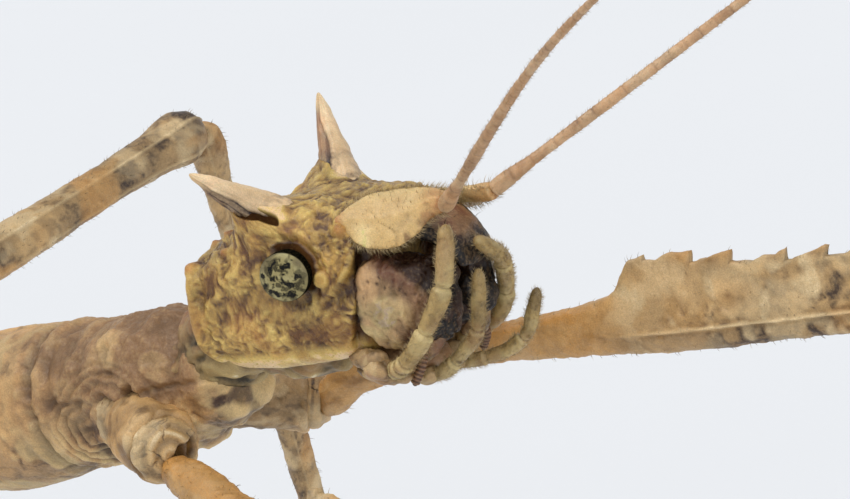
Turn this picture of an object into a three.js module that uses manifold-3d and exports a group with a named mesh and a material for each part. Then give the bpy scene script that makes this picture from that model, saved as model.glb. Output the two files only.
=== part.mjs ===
// A life-size adult female Annam stick insect, standing, in millimetres.
// +X is the way the body faces, +Y its left side, +Z up, and the feet stand on z = 0.
// Every sub-part is swept along a short curve, then cut to clear the neighbours it meets.
import * as THREE from "three";
import { mergeVertices } from "three/addons/utils/BufferGeometryUtils.js";
import Module from "manifold-3d";

const wasm = await Module();
wasm.setup();

// ---- Driving dimensions ----
const GAP = 0.06; // clearance between neighbouring solids
const HEAD_HEIGHT = 18; // height of the head's centre, between the eyes, above the floor
const HEAD_YAW = 12.3; // degrees that the head is turned to its left
const AXIS_DROP = 1.75; // how far the body's axis lies below the head's centre
const AXIS_SIDE = -0.55; // the body's axis, to the right of the head's centre
const THORAX_PITCH = 7; // degrees that the thorax slopes up to the front
const ABDOMEN_PITCH = 4.5; // degrees that the abdomen slopes up to the front
const CENTRE = new THREE.Vector3(24.125, -0.692, 0); // moves the origin to below the model's middle

const EYE_RADIUS = 0.47;
const FLAGELLUM_RADIUS = 0.25;
const PALP_RADIUS = 0.22;
const CREST_THICKNESS = 0.5;

// Distances back along the body, from below the head's centre.
const NECK_END = 3.9;
const PROTHORAX_END = 8.1;
const MESOTHORAX_END = 28.5;
const METATHORAX_END = 41;
const ABDOMEN_ENDS = [48.5, 56.5, 65, 73, 80, 85.5, 88.5, 90.6, 93]; // segments 2 to 10

// The trunk's girth: [distance back, half width, half height].
const TRUNK_GIRTH = [
  [3.9, 1.02, 1.08], [4.6, 1.22, 1.34], [6, 1.22, 1.36], [8.1, 1.3, 1.42],
  [9, 1.5, 1.55], [12, 1.42, 1.48], [18, 1.45, 1.5], [24, 1.65, 1.6],
  [27, 1.92, 1.75], [28.5, 1.82, 1.68], [30, 1.75, 1.65], [36, 1.85, 1.7],
  [39, 2.05, 1.8], [41, 1.95, 1.75], [48.5, 2.08, 1.9], [56.5, 2.2, 2.05],
  [65, 2.25, 2.1], [73, 2.12, 2], [80, 1.85, 1.75], [85.5, 1.55, 1.5],
  [88.5, 1.32, 1.3], [90.6, 1.2, 1.15], [93, 0.85, 0.6],
];

const FINISHES = {
  head: { color: 0x9c8450, roughness: 0.62 },
  horn: { color: 0xd9b184, roughness: 0.5 },
  eye: { color: 0x8c8664, roughness: 0.25 },
  feeler: { color: 0xbf9a66, roughness: 0.5 },
  jaw: { color: 0xa58a70, roughness: 0.4 },
  membrane: { color: 0xb5ab88, roughness: 0.55 },
  body: { color: 0xa9855c, roughness: 0.65 },
  leg: { color: 0xae8757, roughness: 0.6 },
};

// ---- Frames and curves ----
const X = new THREE.Vector3(1, 0, 0);
const Y = new THREE.Vector3(0, 1, 0);
const Z = new THREE.Vector3(0, 0, 1);
const radians = THREE.MathUtils.degToRad;
const point = (x, y, z) => new THREE.Vector3(x, y, z);
const smooth = (places) => new THREE.CatmullRomCurve3(places, false, "centripetal");
const curve = (...places) => smooth(places.map((place) => point(...place)));
const line = (a, b) => new THREE.LineCurve3(a, b);

const headFrame = new THREE.Matrix4()
  .makeRotationZ(radians(HEAD_YAW))
  .setPosition(0, 0, HEAD_HEIGHT);

// The body's axis: straight through the thorax, then eased into the flatter abdomen.
const AXIS_START = point(0, AXIS_SIDE, HEAD_HEIGHT - AXIS_DROP);
function backward(pitch) {
  return point(-Math.cos(radians(pitch)), 0, -Math.sin(radians(pitch)));
}
const hip = AXIS_START.clone().addScaledVector(backward(THORAX_PITCH), METATHORAX_END);
const SETTLE = 4; // length over which the abdomen's slope is half way between the two
function axisAt(distance) {
  if (distance <= METATHORAX_END) {
    return AXIS_START.clone().addScaledVector(backward(THORAX_PITCH), distance);
  }
  const past = distance - METATHORAX_END;
  const share = past / (past + SETTLE);
  return hip.clone().addScaledVector(
    backward(THREE.MathUtils.lerp(THORAX_PITCH, ABDOMEN_PITCH, share)), past);
}

// ---- Solids ----
// Closed three.js geometry as a manifold-3d solid.
function solidOf(geometry) {
  const bare = geometry.clone();
  bare.deleteAttribute("normal");
  bare.deleteAttribute("uv");
  const merged = mergeVertices(bare, 1e-4);
  return new wasm.Manifold(new wasm.Mesh({
    numProp: 3,
    vertProperties: merged.attributes.position.array,
    triVerts: new Uint32Array(merged.index.array),
  }));
}

function geometryOf(solid) {
  const mesh = solid.getMesh();
  const geometry = new THREE.BufferGeometry();
  geometry.setAttribute("position", new THREE.BufferAttribute(mesh.vertProperties, 3));
  geometry.setIndex(new THREE.BufferAttribute(mesh.triVerts, 1));
  geometry.computeVertexNormals();
  return geometry;
}

// Moves the rings of a cylinder onto a path.
// A station is [share of the path, half width, half height, lift].
// square makes the section boxier, and grow thickens the whole piece to make a cutter of it.
function sweep(path, stations, side, { sides = 8, square = 1, grow = 0, frame = null } = {}) {
  const rings = stations.length - 1;
  const geometry = new THREE.CylinderGeometry(1, 1, 1, sides, rings);
  const position = geometry.getAttribute("position");
  const boxy = (v) => Math.sign(v) * Math.abs(v) ** square;
  for (let i = 0; i < position.count; i++) {
    const ring = Math.round((0.5 - position.getY(i)) * rings);
    const [share, width, height, lift = 0] = stations[ring];
    const forward = path.getTangentAt(share);
    const across = side.clone().addScaledVector(forward, -side.dot(forward)).normalize();
    const above = forward.clone().cross(across);
    const end = ring === 0 ? -grow : ring === rings ? grow : 0;
    const placed = path.getPointAt(share)
      .addScaledVector(forward, end)
      .addScaledVector(across, boxy(position.getX(i)) * (width + grow))
      .addScaledVector(above, lift + boxy(position.getZ(i)) * (height + grow));
    position.setXYZ(i, placed.x, placed.y, placed.z);
  }
  if (frame) geometry.applyMatrix4(frame);
  const solid = solidOf(geometry);
  return solid.volume() < 0 ? solidOf(flipped(geometry)) : solid;
}

function flipped(geometry) {
  const turned = geometry.clone();
  const index = turned.index.array;
  for (let i = 0; i < index.length; i += 3) [index[i], index[i + 1]] = [index[i + 1], index[i]];
  return turned;
}

// ---- The list of sub-parts ----
// make(grow) gives a sub-part's solid, and it gives way to the named neighbours.
const subParts = [];
function part(name, finish, make, givesWayTo = []) {
  subParts.push({ name, finish, make, givesWayTo });
}
const SIDES = [{ label: "right", s: -1 }, { label: "left", s: 1 }];

// A piece laid out in the head's own frame, whose side to side direction is Y.
function headPiece(name, finish, path, stations, givesWayTo, { side = Y, ...section }) {
  const make = (grow) => sweep(path, stations, side, { frame: headFrame, grow, ...section });
  part(name, finish, make, givesWayTo);
}

// ---- Head ----
const HEAD_BACK = -2.85;
const HEAD_FRONT = 1.38;
// The capsule: [x, half width, half height, middle height].
const HEAD_SECTIONS = [
  [-2.85, 0.9, 0.58, -0.66], [-2.7, 1.36, 0.9, -0.68], [-2.3, 1.55, 1.16, -0.66],
  [-1.5, 1.64, 1.46, -0.55], [-0.7, 1.66, 1.63, -0.48], [0, 1.62, 1.63, -0.48],
  [0.6, 1.54, 1.53, -0.47], [1.1, 1.4, 1.38, -0.45], [1.38, 1.15, 1.1, -0.42],
];
function headSolid(grow) {
  const stations = HEAD_SECTIONS.map(([x, width, height, middle]) =>
    [(x - HEAD_BACK) / (HEAD_FRONT - HEAD_BACK), width, height, middle]);
  return sweep(line(point(HEAD_BACK, 0, 0), point(HEAD_FRONT, 0, 0)), stations, Y,
    { sides: 18, square: 0.52, frame: headFrame, grow });
}
part("head", "head", headSolid, ["eye_right", "eye_left"]);

const EYE_CENTRE = { x: -0.2, y: 1.52, z: -0.07 };
const HORN_TIPS = { right: [-1.42, -2.17, 2.14], left: [-1.42, 2.2, 2.4] };
for (const { label, s } of SIDES) {
  const eyeCentre = point(EYE_CENTRE.x, s * EYE_CENTRE.y, EYE_CENTRE.z).applyMatrix4(headFrame);
  part(`eye_${label}`, "eye", (grow) =>
    solidOf(new THREE.SphereGeometry(EYE_RADIUS + grow, 12, 7).translate(...eyeCentre)));

  headPiece(`horn_${label}`, "horn", line(point(-0.5, s * 0.92, 0.75), point(...HORN_TIPS[label])),
    [[0, 0.55, 0.5], [0.22, 0.46, 0.42], [0.4, 0.3, 0.31],
      [0.7, 0.22, 0.24], [0.92, 0.12, 0.12], [1, 0.05, 0.05]],
    ["head"], { side: X });
}

// ---- Feelers ----
// The scape is a thick leaf, tilted about its length; the flagellum is longer than the head.
const SCAPES = {
  right: { from: [0.62, -1.12, 0.62], to: [3.0, -0.7, 0.76], tilt: 53 },
  left: { from: [0.72, 0.86, 0.46], to: [3.0, 0.76, 0.62], tilt: 33 },
};
const FLAGELLUM = { forward: 0.765, outward: 0.493, upward: 0.414, length: 13.6 };
const BOW = { right: 0.35, left: 0.05 }; // how far a flagellum arches up at its middle
const FLAGELLUM_SHARES = [0, 0.02, 0.25, 0.5, 0.75, 0.98, 1];
for (const { label, s } of SIDES) {
  const { from, to, tilt } = SCAPES[label];
  const leafSide = point(0, s * Math.cos(radians(tilt)), -Math.sin(radians(tilt)));
  headPiece(`scape_${label}`, "feeler", line(point(...from), point(...to)),
    [[0, 0.2, 0.17], [0.1, 0.25, 0.19], [0.24, 0.46, 0.22], [0.45, 0.6, 0.24],
      [0.66, 0.52, 0.24], [0.86, 0.34, 0.25], [1, 0.3, 0.26]],
    ["head"], { side: leafSide, sides: 10 });

  const root = point(...to);
  const reach = point(FLAGELLUM.forward, s * FLAGELLUM.outward, FLAGELLUM.upward)
    .multiplyScalar(FLAGELLUM.length);
  const middle = root.clone().addScaledVector(reach, 0.5).add(point(0, 0, BOW[label]));
  const stations = FLAGELLUM_SHARES.map((share) => {
    const radius = FLAGELLUM_RADIUS * (share === 1 ? 0.6 : 1);
    return [share, radius, radius];
  });
  headPiece(`flagellum_${label}`, "feeler", smooth([root, middle, root.clone().add(reach)]), stations,
    [`scape_${label}`], { sides: 6 });
}

// ---- Mouth ----
headPiece("labrum", "jaw",
  curve([1.1, 0, 0.54], [2, 0, 0.42], [2.5, 0, 0.12], [2.74, 0, -0.2], [2.8, 0, -0.5]),
  [[0, 0.95, 0.34], [0.2, 0.95, 0.34], [0.5, 0.82, 0.28], [0.75, 0.66, 0.22],
    [0.92, 0.56, 0.16], [1, 0.4, 0.1]],
  ["head", "scape_right", "scape_left"], { sides: 10, square: 0.8 });

headPiece("labium", "jaw", curve([0.05, 0, -2], [0.9, 0, -2.18], [1.6, 0, -2.24]),
  [[0, 0.6, 0.15], [0.15, 0.85, 0.3], [0.6, 0.85, 0.33], [0.9, 0.62, 0.26], [1, 0.4, 0.14]],
  ["head", "mandible_right", "mandible_left"], { sides: 10 });

// The feelers of the mouth curl up in front of it: [x, outward, z] from base to tip.
const MAXILLARY_PALPS = {
  right: [[1.2, 1, -2.12], [1.48, 1.2, -2.05], [1.9, 1.32, -1.8], [2.27, 1.38, -1.48], [2.73, 1.24, -0.85],
    [2.86, 1.14, -0.52], [2.96, 1.02, 0], [3.04, 0.92, 0.48]],
  left: [[1.2, 1, -2.12], [1.48, 1.18, -2.08], [1.98, 1.28, -1.87], [2.26, 1.28, -1.57], [2.5, 1.12, -1.22],
    [2.78, 0.8, -0.84], [3.05, 0.42, -0.5], [3.14, 0.05, -0.25], [3.12, -0.27, 0.02]],
};
const LABIAL_PALPS = {
  right: [[1.3, 0.36, -2.4], [1.7, 0.42, -2.4], [2.1, 0.46, -2.24], [2.46, 0.5, -2], [2.86, 0.55, -1.68],
    [3.08, 0.55, -1.07], [3.21, 0.5, -0.49]],
  left: [[1.3, 0.36, -2.4], [2.01, 0.5, -2.42], [2.7, 0.7, -2.27], [3, 0.8, -2.04],
    [3.14, 0.84, -1.75], [3.38, 0.86, -1.27]],
};
// Beads of nearly equal length, narrow where they join.
function beads(count, radius) {
  const stations = [[0, radius * 0.7, radius * 0.7]];
  for (let i = 0; i < count; i++) {
    stations.push([(i + 0.3) / count, radius, radius]);
    stations.push([(i + 0.8) / count, radius, radius]);
    if (i < count - 1) stations.push([(i + 1) / count, radius * 0.82, radius * 0.82]);
  }
  stations.push([1, radius * 0.45, radius * 0.45]);
  return stations;
}
for (const { label, s } of SIDES) {
  headPiece(`mandible_${label}`, "jaw",
    curve([0.95, s * 0.86, -0.8], [1.6, s * 0.82, -0.82], [2.2, s * 0.62, -0.88], [2.62, s * 0.42, -0.95]),
    [[0, 0.42, 0.6], [0.12, 0.6, 0.84], [0.45, 0.66, 0.93], [0.75, 0.5, 0.88],
      [0.93, 0.3, 0.66], [1, 0.14, 0.36]],
    ["head", "labrum"], { sides: 12 });
  const outward = ([x, y, z]) => [x, s * y, z];
  const soft = ["head", "labium", "labrum", `mandible_${label}`];
  headPiece(`maxillary_palp_${label}`, "feeler", curve(...MAXILLARY_PALPS[label].map(outward)),
    beads(5, PALP_RADIUS), [...soft, "mandible_right", `labial_palp_${label}`], { sides: 6 });
  headPiece(`labial_palp_${label}`, "feeler", curve(...LABIAL_PALPS[label].map(outward)),
    beads(3, PALP_RADIUS), soft, { sides: 6 });
}

// ---- Trunk ----
const girthTable = new THREE.LinearInterpolant(
  TRUNK_GIRTH.map(([distance]) => distance),
  TRUNK_GIRTH.flatMap(([, width, height]) => [width, height]), 2);
const COLLAR = 0.05; // how much each segment narrows at its two ends
class AxisCurve extends THREE.Curve {
  constructor(from, to) {
    super();
    this.from = from;
    this.to = to;
  }
  getPoint(t) {
    return axisAt(THREE.MathUtils.lerp(this.from, this.to, t));
  }
}
function trunkSegment(name, from, to, rings, givesWayTo = []) {
  const near = from + GAP / 2;
  const far = to - GAP / 2;
  const shares = [0, 0.06, ...Array.from({ length: rings - 1 }, (_, i) => (i + 1) / rings), 0.94, 1];
  const stations = shares.map((share) => {
    const [width, height] = girthTable.evaluate(THREE.MathUtils.lerp(near, far, share));
    const collar = share === 0 || share === 1 ? COLLAR : 0;
    return [share, width - collar, height - collar];
  });
  part(name, "body", (grow) => sweep(new AxisCurve(near, far), stations, Y.clone().negate(),
    { sides: 12, square: 0.9, grow }), givesWayTo);
}
trunkSegment("prothorax", NECK_END, PROTHORAX_END, 4);
trunkSegment("mesothorax", PROTHORAX_END, MESOTHORAX_END, 7);
trunkSegment("metathorax", MESOTHORAX_END, METATHORAX_END, 5);
ABDOMEN_ENDS.forEach((end, i) => {
  const start = i ? ABDOMEN_ENDS[i - 1] : METATHORAX_END;
  trunkSegment(`abdomen_${i + 2}`, start, end, end - start > 4 ? 2 : 1, i > 5 ? ["operculum"] : []);
});

const neckPath = smooth([
  point(-1.5, 0, -1.05).applyMatrix4(headFrame),
  point(-2.6, 0, -1.15).applyMatrix4(headFrame),
  axisAt(NECK_END + 0.5),
]);
part("neck", "membrane", (grow) => sweep(neckPath,
  [[0, 0.95, 0.8], [0.4, 1.02, 0.92], [0.7, 1, 0.98], [1, 1, 1.02]],
  Y.clone().negate(), { sides: 10, grow }), ["head", "prothorax", "labium"]);

// ---- Tail ----
const below = (distance, drop, side = 0) => axisAt(distance).add(point(0, side, -drop));
part("operculum", "body", (grow) => sweep(
  smooth([below(85.8, 1), below(89, 0.95), below(92, 0.75), below(95, 0.45)]),
  [[0, 0.8, 0.45], [0.1, 1.05, 0.62], [0.45, 0.95, 0.62], [0.75, 0.6, 0.42],
    [0.95, 0.3, 0.25], [1, 0.2, 0.18]],
  Y.clone().negate(), { sides: 10, grow }), ["abdomen_7"]);
for (const { label, s } of SIDES) {
  part(`cercus_${label}`, "feeler", (grow) => sweep(
    line(below(92.4, -0.1, s * 0.45), below(94.2, 0, s * 0.85)),
    [[0, 0.22, 0.22], [0.5, 0.26, 0.26], [0.9, 0.2, 0.2], [1, 0.1, 0.1]], Y, { sides: 6, grow }),
    ["abdomen_10", "operculum"]);
}

// ---- Legs ----
// A leg is given by the places of its joints: where the coxa leaves the body, its end, the knee,
// the ankle and the toe. bend is a place that the curved root of the femur goes through.
const FORE_CREST = {
  start: 6.8, rise: 0.8, end: 24.4, height: 1.1, lowest: 0.66, toothLength: 0.94, toothHeight: 0.17,
};
const LEGS = {
  fore_right: {
    carrier: "prothorax", coxaRoot: [-6, -1.1, 15.2], coxaEnd: [-3.9, -2.15, 14.8], coxaRadius: 0.72,
    bend: [-1.94, -2.75, 14], knee: [19.85, -11.1, 12.57],
    ankle: [40.5, -19.1, 0.5], toe: [46.2, -21.2, 0.3],
    femur: [0.45, 0.36, 0.5, 0.36], tibia: 0.36, crest: true,
  },
  fore_left: {
    carrier: "prothorax", coxaRoot: [-5.5, 0.1, 15.1], coxaEnd: [-4.15, 1.75, 14.5], coxaRadius: 0.62,
    bend: [-3, 2.08, 14.98], knee: [19.9, 8.65, 15.75],
    ankle: [38.9, 14.1, 0.5], toe: [44.7, 15.8, 0.3],
    femur: [0.45, 0.36, 0.5, 0.36], tibia: 0.36, crest: true,
  },
  middle_right: {
    carrier: "mesothorax", coxaRoot: [-26.4, -1.3, 12.9], coxaEnd: [-26.3, -3, 12.4], coxaRadius: 0.75,
    bend: [-26, -4.7, 12.7], knee: [-25.2, -19.8, 15.2],
    ankle: [-29, -24.8, 0.5], toe: [-30.2, -29.3, 0.3],
    femur: [0.55, 0.5, 0.6, 0.5], tibia: 0.42,
  },
  middle_left: {
    carrier: "mesothorax", coxaRoot: [-26.4, 0.2, 12.9], coxaEnd: [-26.3, 1.9, 12.6], coxaRadius: 0.75,
    bend: [-26.2, 3.6, 12.95], knee: [-26.24, 18.4, 15.31],
    ankle: [-30.4, 22.7, 0.5], toe: [-31.9, 27.1, 0.3],
    femur: [0.55, 0.5, 0.6, 0.5], tibia: 0.42,
  },
  hind_right: {
    carrier: "metathorax", coxaRoot: [-38.2, -1.4, 11.3], coxaEnd: [-38.5, -3, 10.6], coxaRadius: 0.78,
    bend: [-39.4, -4.6, 10.9], knee: [-51.8, -18.7, 15.6],
    ankle: [-64.6, -28.4, 0.5], toe: [-69.3, -31, 0.3],
    femur: [0.58, 0.52, 0.62, 0.5], tibia: 0.42,
  },
  hind_left: {
    carrier: "metathorax", coxaRoot: [-38.2, 0.3, 11.3], coxaEnd: [-38.5, 1.9, 10.6], coxaRadius: 0.78,
    bend: [-39.4, 3.5, 10.9], knee: [-50.6, 18.6, 15.4],
    ankle: [-62.4, 29.6, 0.5], toe: [-66.9, 32.4, 0.3],
    femur: [0.58, 0.52, 0.62, 0.5], tibia: 0.42,
  },
};

const SOLE_HEIGHT = 0.21; // height of a foot's axis where its sole lies flat on the floor

// Stations of a limb from its half width, half height and [share of the path, share of the girth].
const girths = (width, height, ...shares) =>
  shares.map(([share, girth]) => [share, width * girth, height * girth]);

// The saw-toothed crest along the top of a fore femur, drawn in its side view and given a thickness.
function crestSolid(root, forward, across, above) {
  const { start, rise, end, height, lowest, toothLength, toothHeight } = FORE_CREST;
  const outline = new THREE.Shape();
  outline.moveTo(start, 0.1);
  outline.lineTo(start + rise * 0.6, height * 0.62);
  outline.lineTo(start + rise, height);
  for (let x = start + rise; x + toothLength < end; x += toothLength) {
    const top = THREE.MathUtils.mapLinear(x, start, end, height, lowest);
    outline.lineTo(x + toothLength * 0.86, top + toothHeight);
    outline.lineTo(x + toothLength * 0.9, top - toothHeight * 0.35);
  }
  outline.lineTo(end, 0.1);
  outline.closePath();
  const geometry = new THREE.ExtrudeGeometry(outline, { depth: CREST_THICKNESS, bevelEnabled: false });
  geometry.translate(0, 0, -CREST_THICKNESS / 2);
  const upright = new THREE.Matrix4().makeBasis(forward, above, across.clone().negate());
  geometry.applyMatrix4(upright.setPosition(root));
  return solidOf(geometry);
}

for (const [name, leg] of Object.entries(LEGS)) {
  const [coxaRoot, coxaEnd, bend, knee, ankle, toe] =
    [leg.coxaRoot, leg.coxaEnd, leg.bend, leg.knee, leg.ankle, leg.toe].map((p) => point(...p));
  const reach = knee.clone().sub(bend).normalize();
  const across = Z.clone().cross(reach).normalize();
  const above = reach.clone().cross(across);
  const radius = leg.coxaRadius;
  const crestRoot = bend.clone().addScaledVector(reach, -bend.distanceTo(coxaEnd));

  part(`${name}_coxa`, "leg", (grow) => sweep(line(coxaRoot, coxaEnd),
    girths(radius, radius, [0, 1], [0.55, 1], [0.85, 0.92], [1, 0.62]),
    across, { sides: 10, grow }), [leg.carrier, "neck"]);

  const [rootRadius, waist, belly, end] = leg.femur;
  const femurPath = smooth([coxaEnd, bend, bend.clone().lerp(knee, 0.5), knee]);
  part(`${name}_femur`, "leg", (grow) => {
    const shaft = sweep(femurPath,
      [[0, rootRadius, rootRadius], [0.05, rootRadius, rootRadius], [0.1, waist, waist],
        [0.2, waist, waist * 1.1], [0.28, waist * 1.05, belly], [0.6, waist, belly * 0.95],
        [0.92, waist * 0.95, end * 1.1], [0.97, waist * 1.15, end * 1.25],
        [1, waist * 0.7, end * 0.7]],
      across, { sides: 8, square: 0.85, grow });
    return leg.crest && !grow ? shaft.add(crestSolid(crestRoot, reach, across, above)) : shaft;
  }, [`${name}_coxa`, leg.carrier]);

  const shin = leg.tibia;
  part(`${name}_tibia`, "leg", (grow) => sweep(line(knee, ankle),
    girths(shin, shin, [0, 0.7], [0.02, 1.05], [0.06, 0.95], [0.94, 0.86], [0.98, 1], [1, 0.7]),
    across, { sides: 8, grow }), [`${name}_femur`]);

  part(`${name}_tarsus`, "leg", (grow) => {
    const heel = ankle.clone().lerp(toe, 0.2).setZ(SOLE_HEIGHT + 0.06);
    const sole = ankle.clone().lerp(toe, 0.6).setZ(SOLE_HEIGHT);
    const foot = sweep(smooth([ankle, heel, sole, toe]),
      [[0, 0.26, 0.26], [0.12, 0.28, 0.28], [0.45, 0.26, 0.26], [0.78, 0.26, 0.27],
        [0.88, 0.36, 0.3], [0.97, 0.36, 0.3], [1, 0.2, 0.18]],
      across, { sides: 8, grow });
    return grow ? foot : foot.trimByPlane([0, 0, 1], 0);
  }, [`${name}_tibia`]);
}

// ---- Assembly ----
const materials = Object.fromEntries(Object.entries(FINISHES).map(([name, look]) =>
  [name, new THREE.MeshStandardMaterial({ name, metalness: 0, ...look })]));
const makers = new Map(subParts.map(({ name, make }) => [name, make]));
const insect = new THREE.Group();
insect.name = "stick_insect";
insect.position.copy(CENTRE);
for (const { name, finish, make, givesWayTo } of subParts) {
  let solid = make(0);
  for (const neighbour of givesWayTo) solid = solid.subtract(makers.get(neighbour)(GAP));
  const geometry = geometryOf(solid);
  geometry.computeBoundingBox();
  const anchor = geometry.boundingBox.getCenter(new THREE.Vector3());
  geometry.translate(-anchor.x, -anchor.y, -anchor.z);
  const mesh = new THREE.Mesh(geometry, materials[finish]);
  mesh.name = name;
  mesh.position.copy(anchor);
  insect.add(mesh);
}

export default insect;
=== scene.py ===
"""The looks of a life-size Annam stick insect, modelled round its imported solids.

Shapes are worked out in the model's millimetres, with the head's centre above the origin,
and turned into the frame's metres when a mesh is made.
"""

import math

import bpy
import numpy as np
from mathutils import Matrix, Vector


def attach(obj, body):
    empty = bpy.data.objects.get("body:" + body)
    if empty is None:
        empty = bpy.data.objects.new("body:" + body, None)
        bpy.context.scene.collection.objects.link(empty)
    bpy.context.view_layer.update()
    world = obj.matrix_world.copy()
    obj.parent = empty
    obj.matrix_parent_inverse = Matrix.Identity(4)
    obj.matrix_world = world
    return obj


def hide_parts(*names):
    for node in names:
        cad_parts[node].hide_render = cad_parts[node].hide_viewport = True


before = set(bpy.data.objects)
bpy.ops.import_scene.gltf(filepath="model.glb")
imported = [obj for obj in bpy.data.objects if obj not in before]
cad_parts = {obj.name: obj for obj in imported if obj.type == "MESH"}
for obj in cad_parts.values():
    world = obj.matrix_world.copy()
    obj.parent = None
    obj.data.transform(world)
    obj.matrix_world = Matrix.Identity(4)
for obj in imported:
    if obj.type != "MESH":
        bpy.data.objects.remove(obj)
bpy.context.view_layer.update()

# ---- Places and sizes shared with the solids, in millimetres ----
MM = 0.001
CENTRE = np.array([24.125, -0.692, 0.0])  # the head's centre in the frame, seen from above
HEAD_HEIGHT = 18.0
HEAD_YAW = math.radians(12.3)
AXIS_START = np.array([0.0, -0.55, HEAD_HEIGHT - 1.75])
THORAX_PITCH = math.radians(7)
ABDOMEN_PITCH = math.radians(4.5)
SETTLE = 4.0  # how far past the thorax the pitch has changed halfway
NECK_END = 4.2
PROTHORAX_END = 8.1
MESOTHORAX_END = 28.5
METATHORAX_END = 41.0
ABDOMEN_ENDS = [48.5, 56.5, 65, 73, 80, 85.5, 88.5, 90.6]
SIDES = {"right": -1, "left": 1}
X, Y, Z = np.eye(3)
SOLE = 0.004  # height of the lowest points above the floor
FAR = 9.0  # a distance that counts as nowhere near

# ---- Camera, measured from the photograph ----
IMAGE_WIDTH = 850
IMAGE_HEIGHT = 499
HEAD_PIXEL = (346.5, 247.0)  # where the head's centre shows
PIXELS_PER_MM = 55.0  # at the head
CAMERA_DISTANCE = 160.0  # mm from the head's centre
CAMERA_RIGHT = np.array([0.659, 0.717, -0.226])
CAMERA_BACK = np.array([0.752, -0.631, 0.189])
SENSOR_WIDTH = 36
CLIP_NEAR, CLIP_FAR = 0.01, 10  # metres

rng = np.random.default_rng(7)


# ---- Small mathematics ----
def unit(v):
    return v / np.maximum(np.linalg.norm(v, axis=-1, keepdims=True), 1e-12)


def ramp(value, low, high):
    """0 below low, 1 above high, and smooth between; low may be the larger one."""
    t = np.clip((value - low) / (high - low), 0, 1)
    return t * t * (3 - 2 * t)


def band(value, outer, inner=0.0):
    """1 where a value is within inner of nought, 0 where it is beyond outer."""
    return ramp(np.abs(value), outer, inner)


def nearest(at, places):
    """How far each number in a column is from the nearest of some places."""
    return np.min(np.abs(at - np.asarray(places)), axis=1, keepdims=True)


def dome(p, centre, radius):
    """A round bump that is 1 at its centre and 0 beyond its radius."""
    d = np.linalg.norm(p - np.asarray(centre), axis=-1) / radius
    return np.clip(1 - d * d, 0, 1) ** 2


def domes(p, rows):
    """Round bumps together. Each row: x, y, z, radius and strength."""
    return sum(strength * dome(p, (x, y, z), radius) for x, y, z, radius, strength in rows)


def mirrored(place, s):
    """A place given for the left, on the side that s names."""
    return np.array(place) * [1, s, 1]


def smooth_interp(at, keys, values):
    """A smooth curve through values at keys, read off at each place."""
    keys = np.asarray(keys, float)
    values = np.asarray(values, float).reshape(len(keys), -1)
    step = np.diff(keys)[:, None]
    rise = np.diff(values, axis=0) / step
    inner = (rise[:-1] * step[1:] + rise[1:] * step[:-1]) / (step[:-1] + step[1:])
    slope = np.vstack([rise[:1], inner, rise[-1:]])
    i = np.clip(np.searchsorted(keys, at, side="right") - 1, 0, len(keys) - 2)
    h = step[i]
    u = (np.asarray(at) - keys[i])[:, None] / h
    near = (2 * u**3 - 3 * u**2 + 1) * values[i] + (u**3 - 2 * u**2 + u) * slope[i] * h
    far = (3 * u**2 - 2 * u**3) * values[i + 1] + (u**3 - u**2) * slope[i + 1] * h
    return near + far


def spine(points, share):
    """Places at shares of the length of a smooth curve through the points."""
    points = np.asarray(points, float)
    chord = np.sqrt(np.linalg.norm(np.diff(points, axis=0), axis=1))
    keys = np.concatenate([[0], np.cumsum(chord)])
    fine = smooth_interp(np.linspace(0, keys[-1], 600), keys, points)
    length = np.concatenate([[0], np.cumsum(np.linalg.norm(np.diff(fine, axis=0), axis=1))])
    return np.stack([np.interp(share * length[-1], length, fine[:, k]) for k in range(3)], -1)


# ---- Noise ----
def lattice(cell, seed):
    """A repeatable random number from 0 to 1 for each whole-numbered cell."""
    c = cell.astype(np.int64).astype(np.uint64)
    h = c[..., 0] * np.uint64(73856093) ^ c[..., 1] * np.uint64(19349663)
    h = h ^ c[..., 2] * np.uint64(83492791) ^ np.uint64(seed * 2654435761)
    h = (h ^ (h >> np.uint64(15))) * np.uint64(2246822519) & np.uint64(0xFFFFFFFF)
    h = (h ^ (h >> np.uint64(13))) * np.uint64(3266489917) & np.uint64(0xFFFFFFFF)
    return (h ^ (h >> np.uint64(16))).astype(float) / 4294967296.0


def noise(p, frequency, seed=0, octaves=3):
    """Smooth noise about 0, from roughly -1 to 1."""
    total = np.zeros(p.shape[:-1])
    weight = 1.0
    for octave in range(octaves):
        q = p * frequency * 2**octave + 31.7 * octave
        cell = np.floor(q)
        f = q - cell
        f = f * f * (3 - 2 * f)
        value = 0
        for corner in np.ndindex(2, 2, 2):
            share = np.prod(np.where(corner, f, 1 - f), axis=-1)
            value = value + share * lattice(cell + corner, seed + octave)
        total += (value * 2 - 1) * weight
        weight *= 0.5
    return total


def spots(p, frequency, seed, low, high, octaves=3):
    """Patches of noise: 0 where it is below low and 1 where it is above high."""
    return ramp(noise(p, frequency, seed, octaves), low, high)


def warped(p, frequency, amount, seed):
    """Places pushed about by noise, so that patterns laid on them lose their regularity."""
    return p + amount * np.stack([noise(p, frequency, seed + 3 * k, 2) for k in range(3)], -1)


def cells(p, frequency, seed, scatter=0.8):
    """Distance to the nearest scattered point, and that point's own number from 0 to 1."""
    q = p * frequency
    base = np.floor(q)
    best = np.full(q.shape[:-1], FAR)
    number = np.zeros_like(best)
    for step in np.ndindex(3, 3, 3):
        cell = base + np.array(step) - 1
        offset = np.stack([lattice(cell, seed + k) for k in (11, 12, 13)], -1) - 0.5
        d = np.linalg.norm(q - (cell + 0.5 + scatter * offset), axis=-1)
        closer = d < best
        number = np.where(closer, lattice(cell, seed + 14), number)
        best = np.where(closer, d, best)
    return best, number


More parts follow.
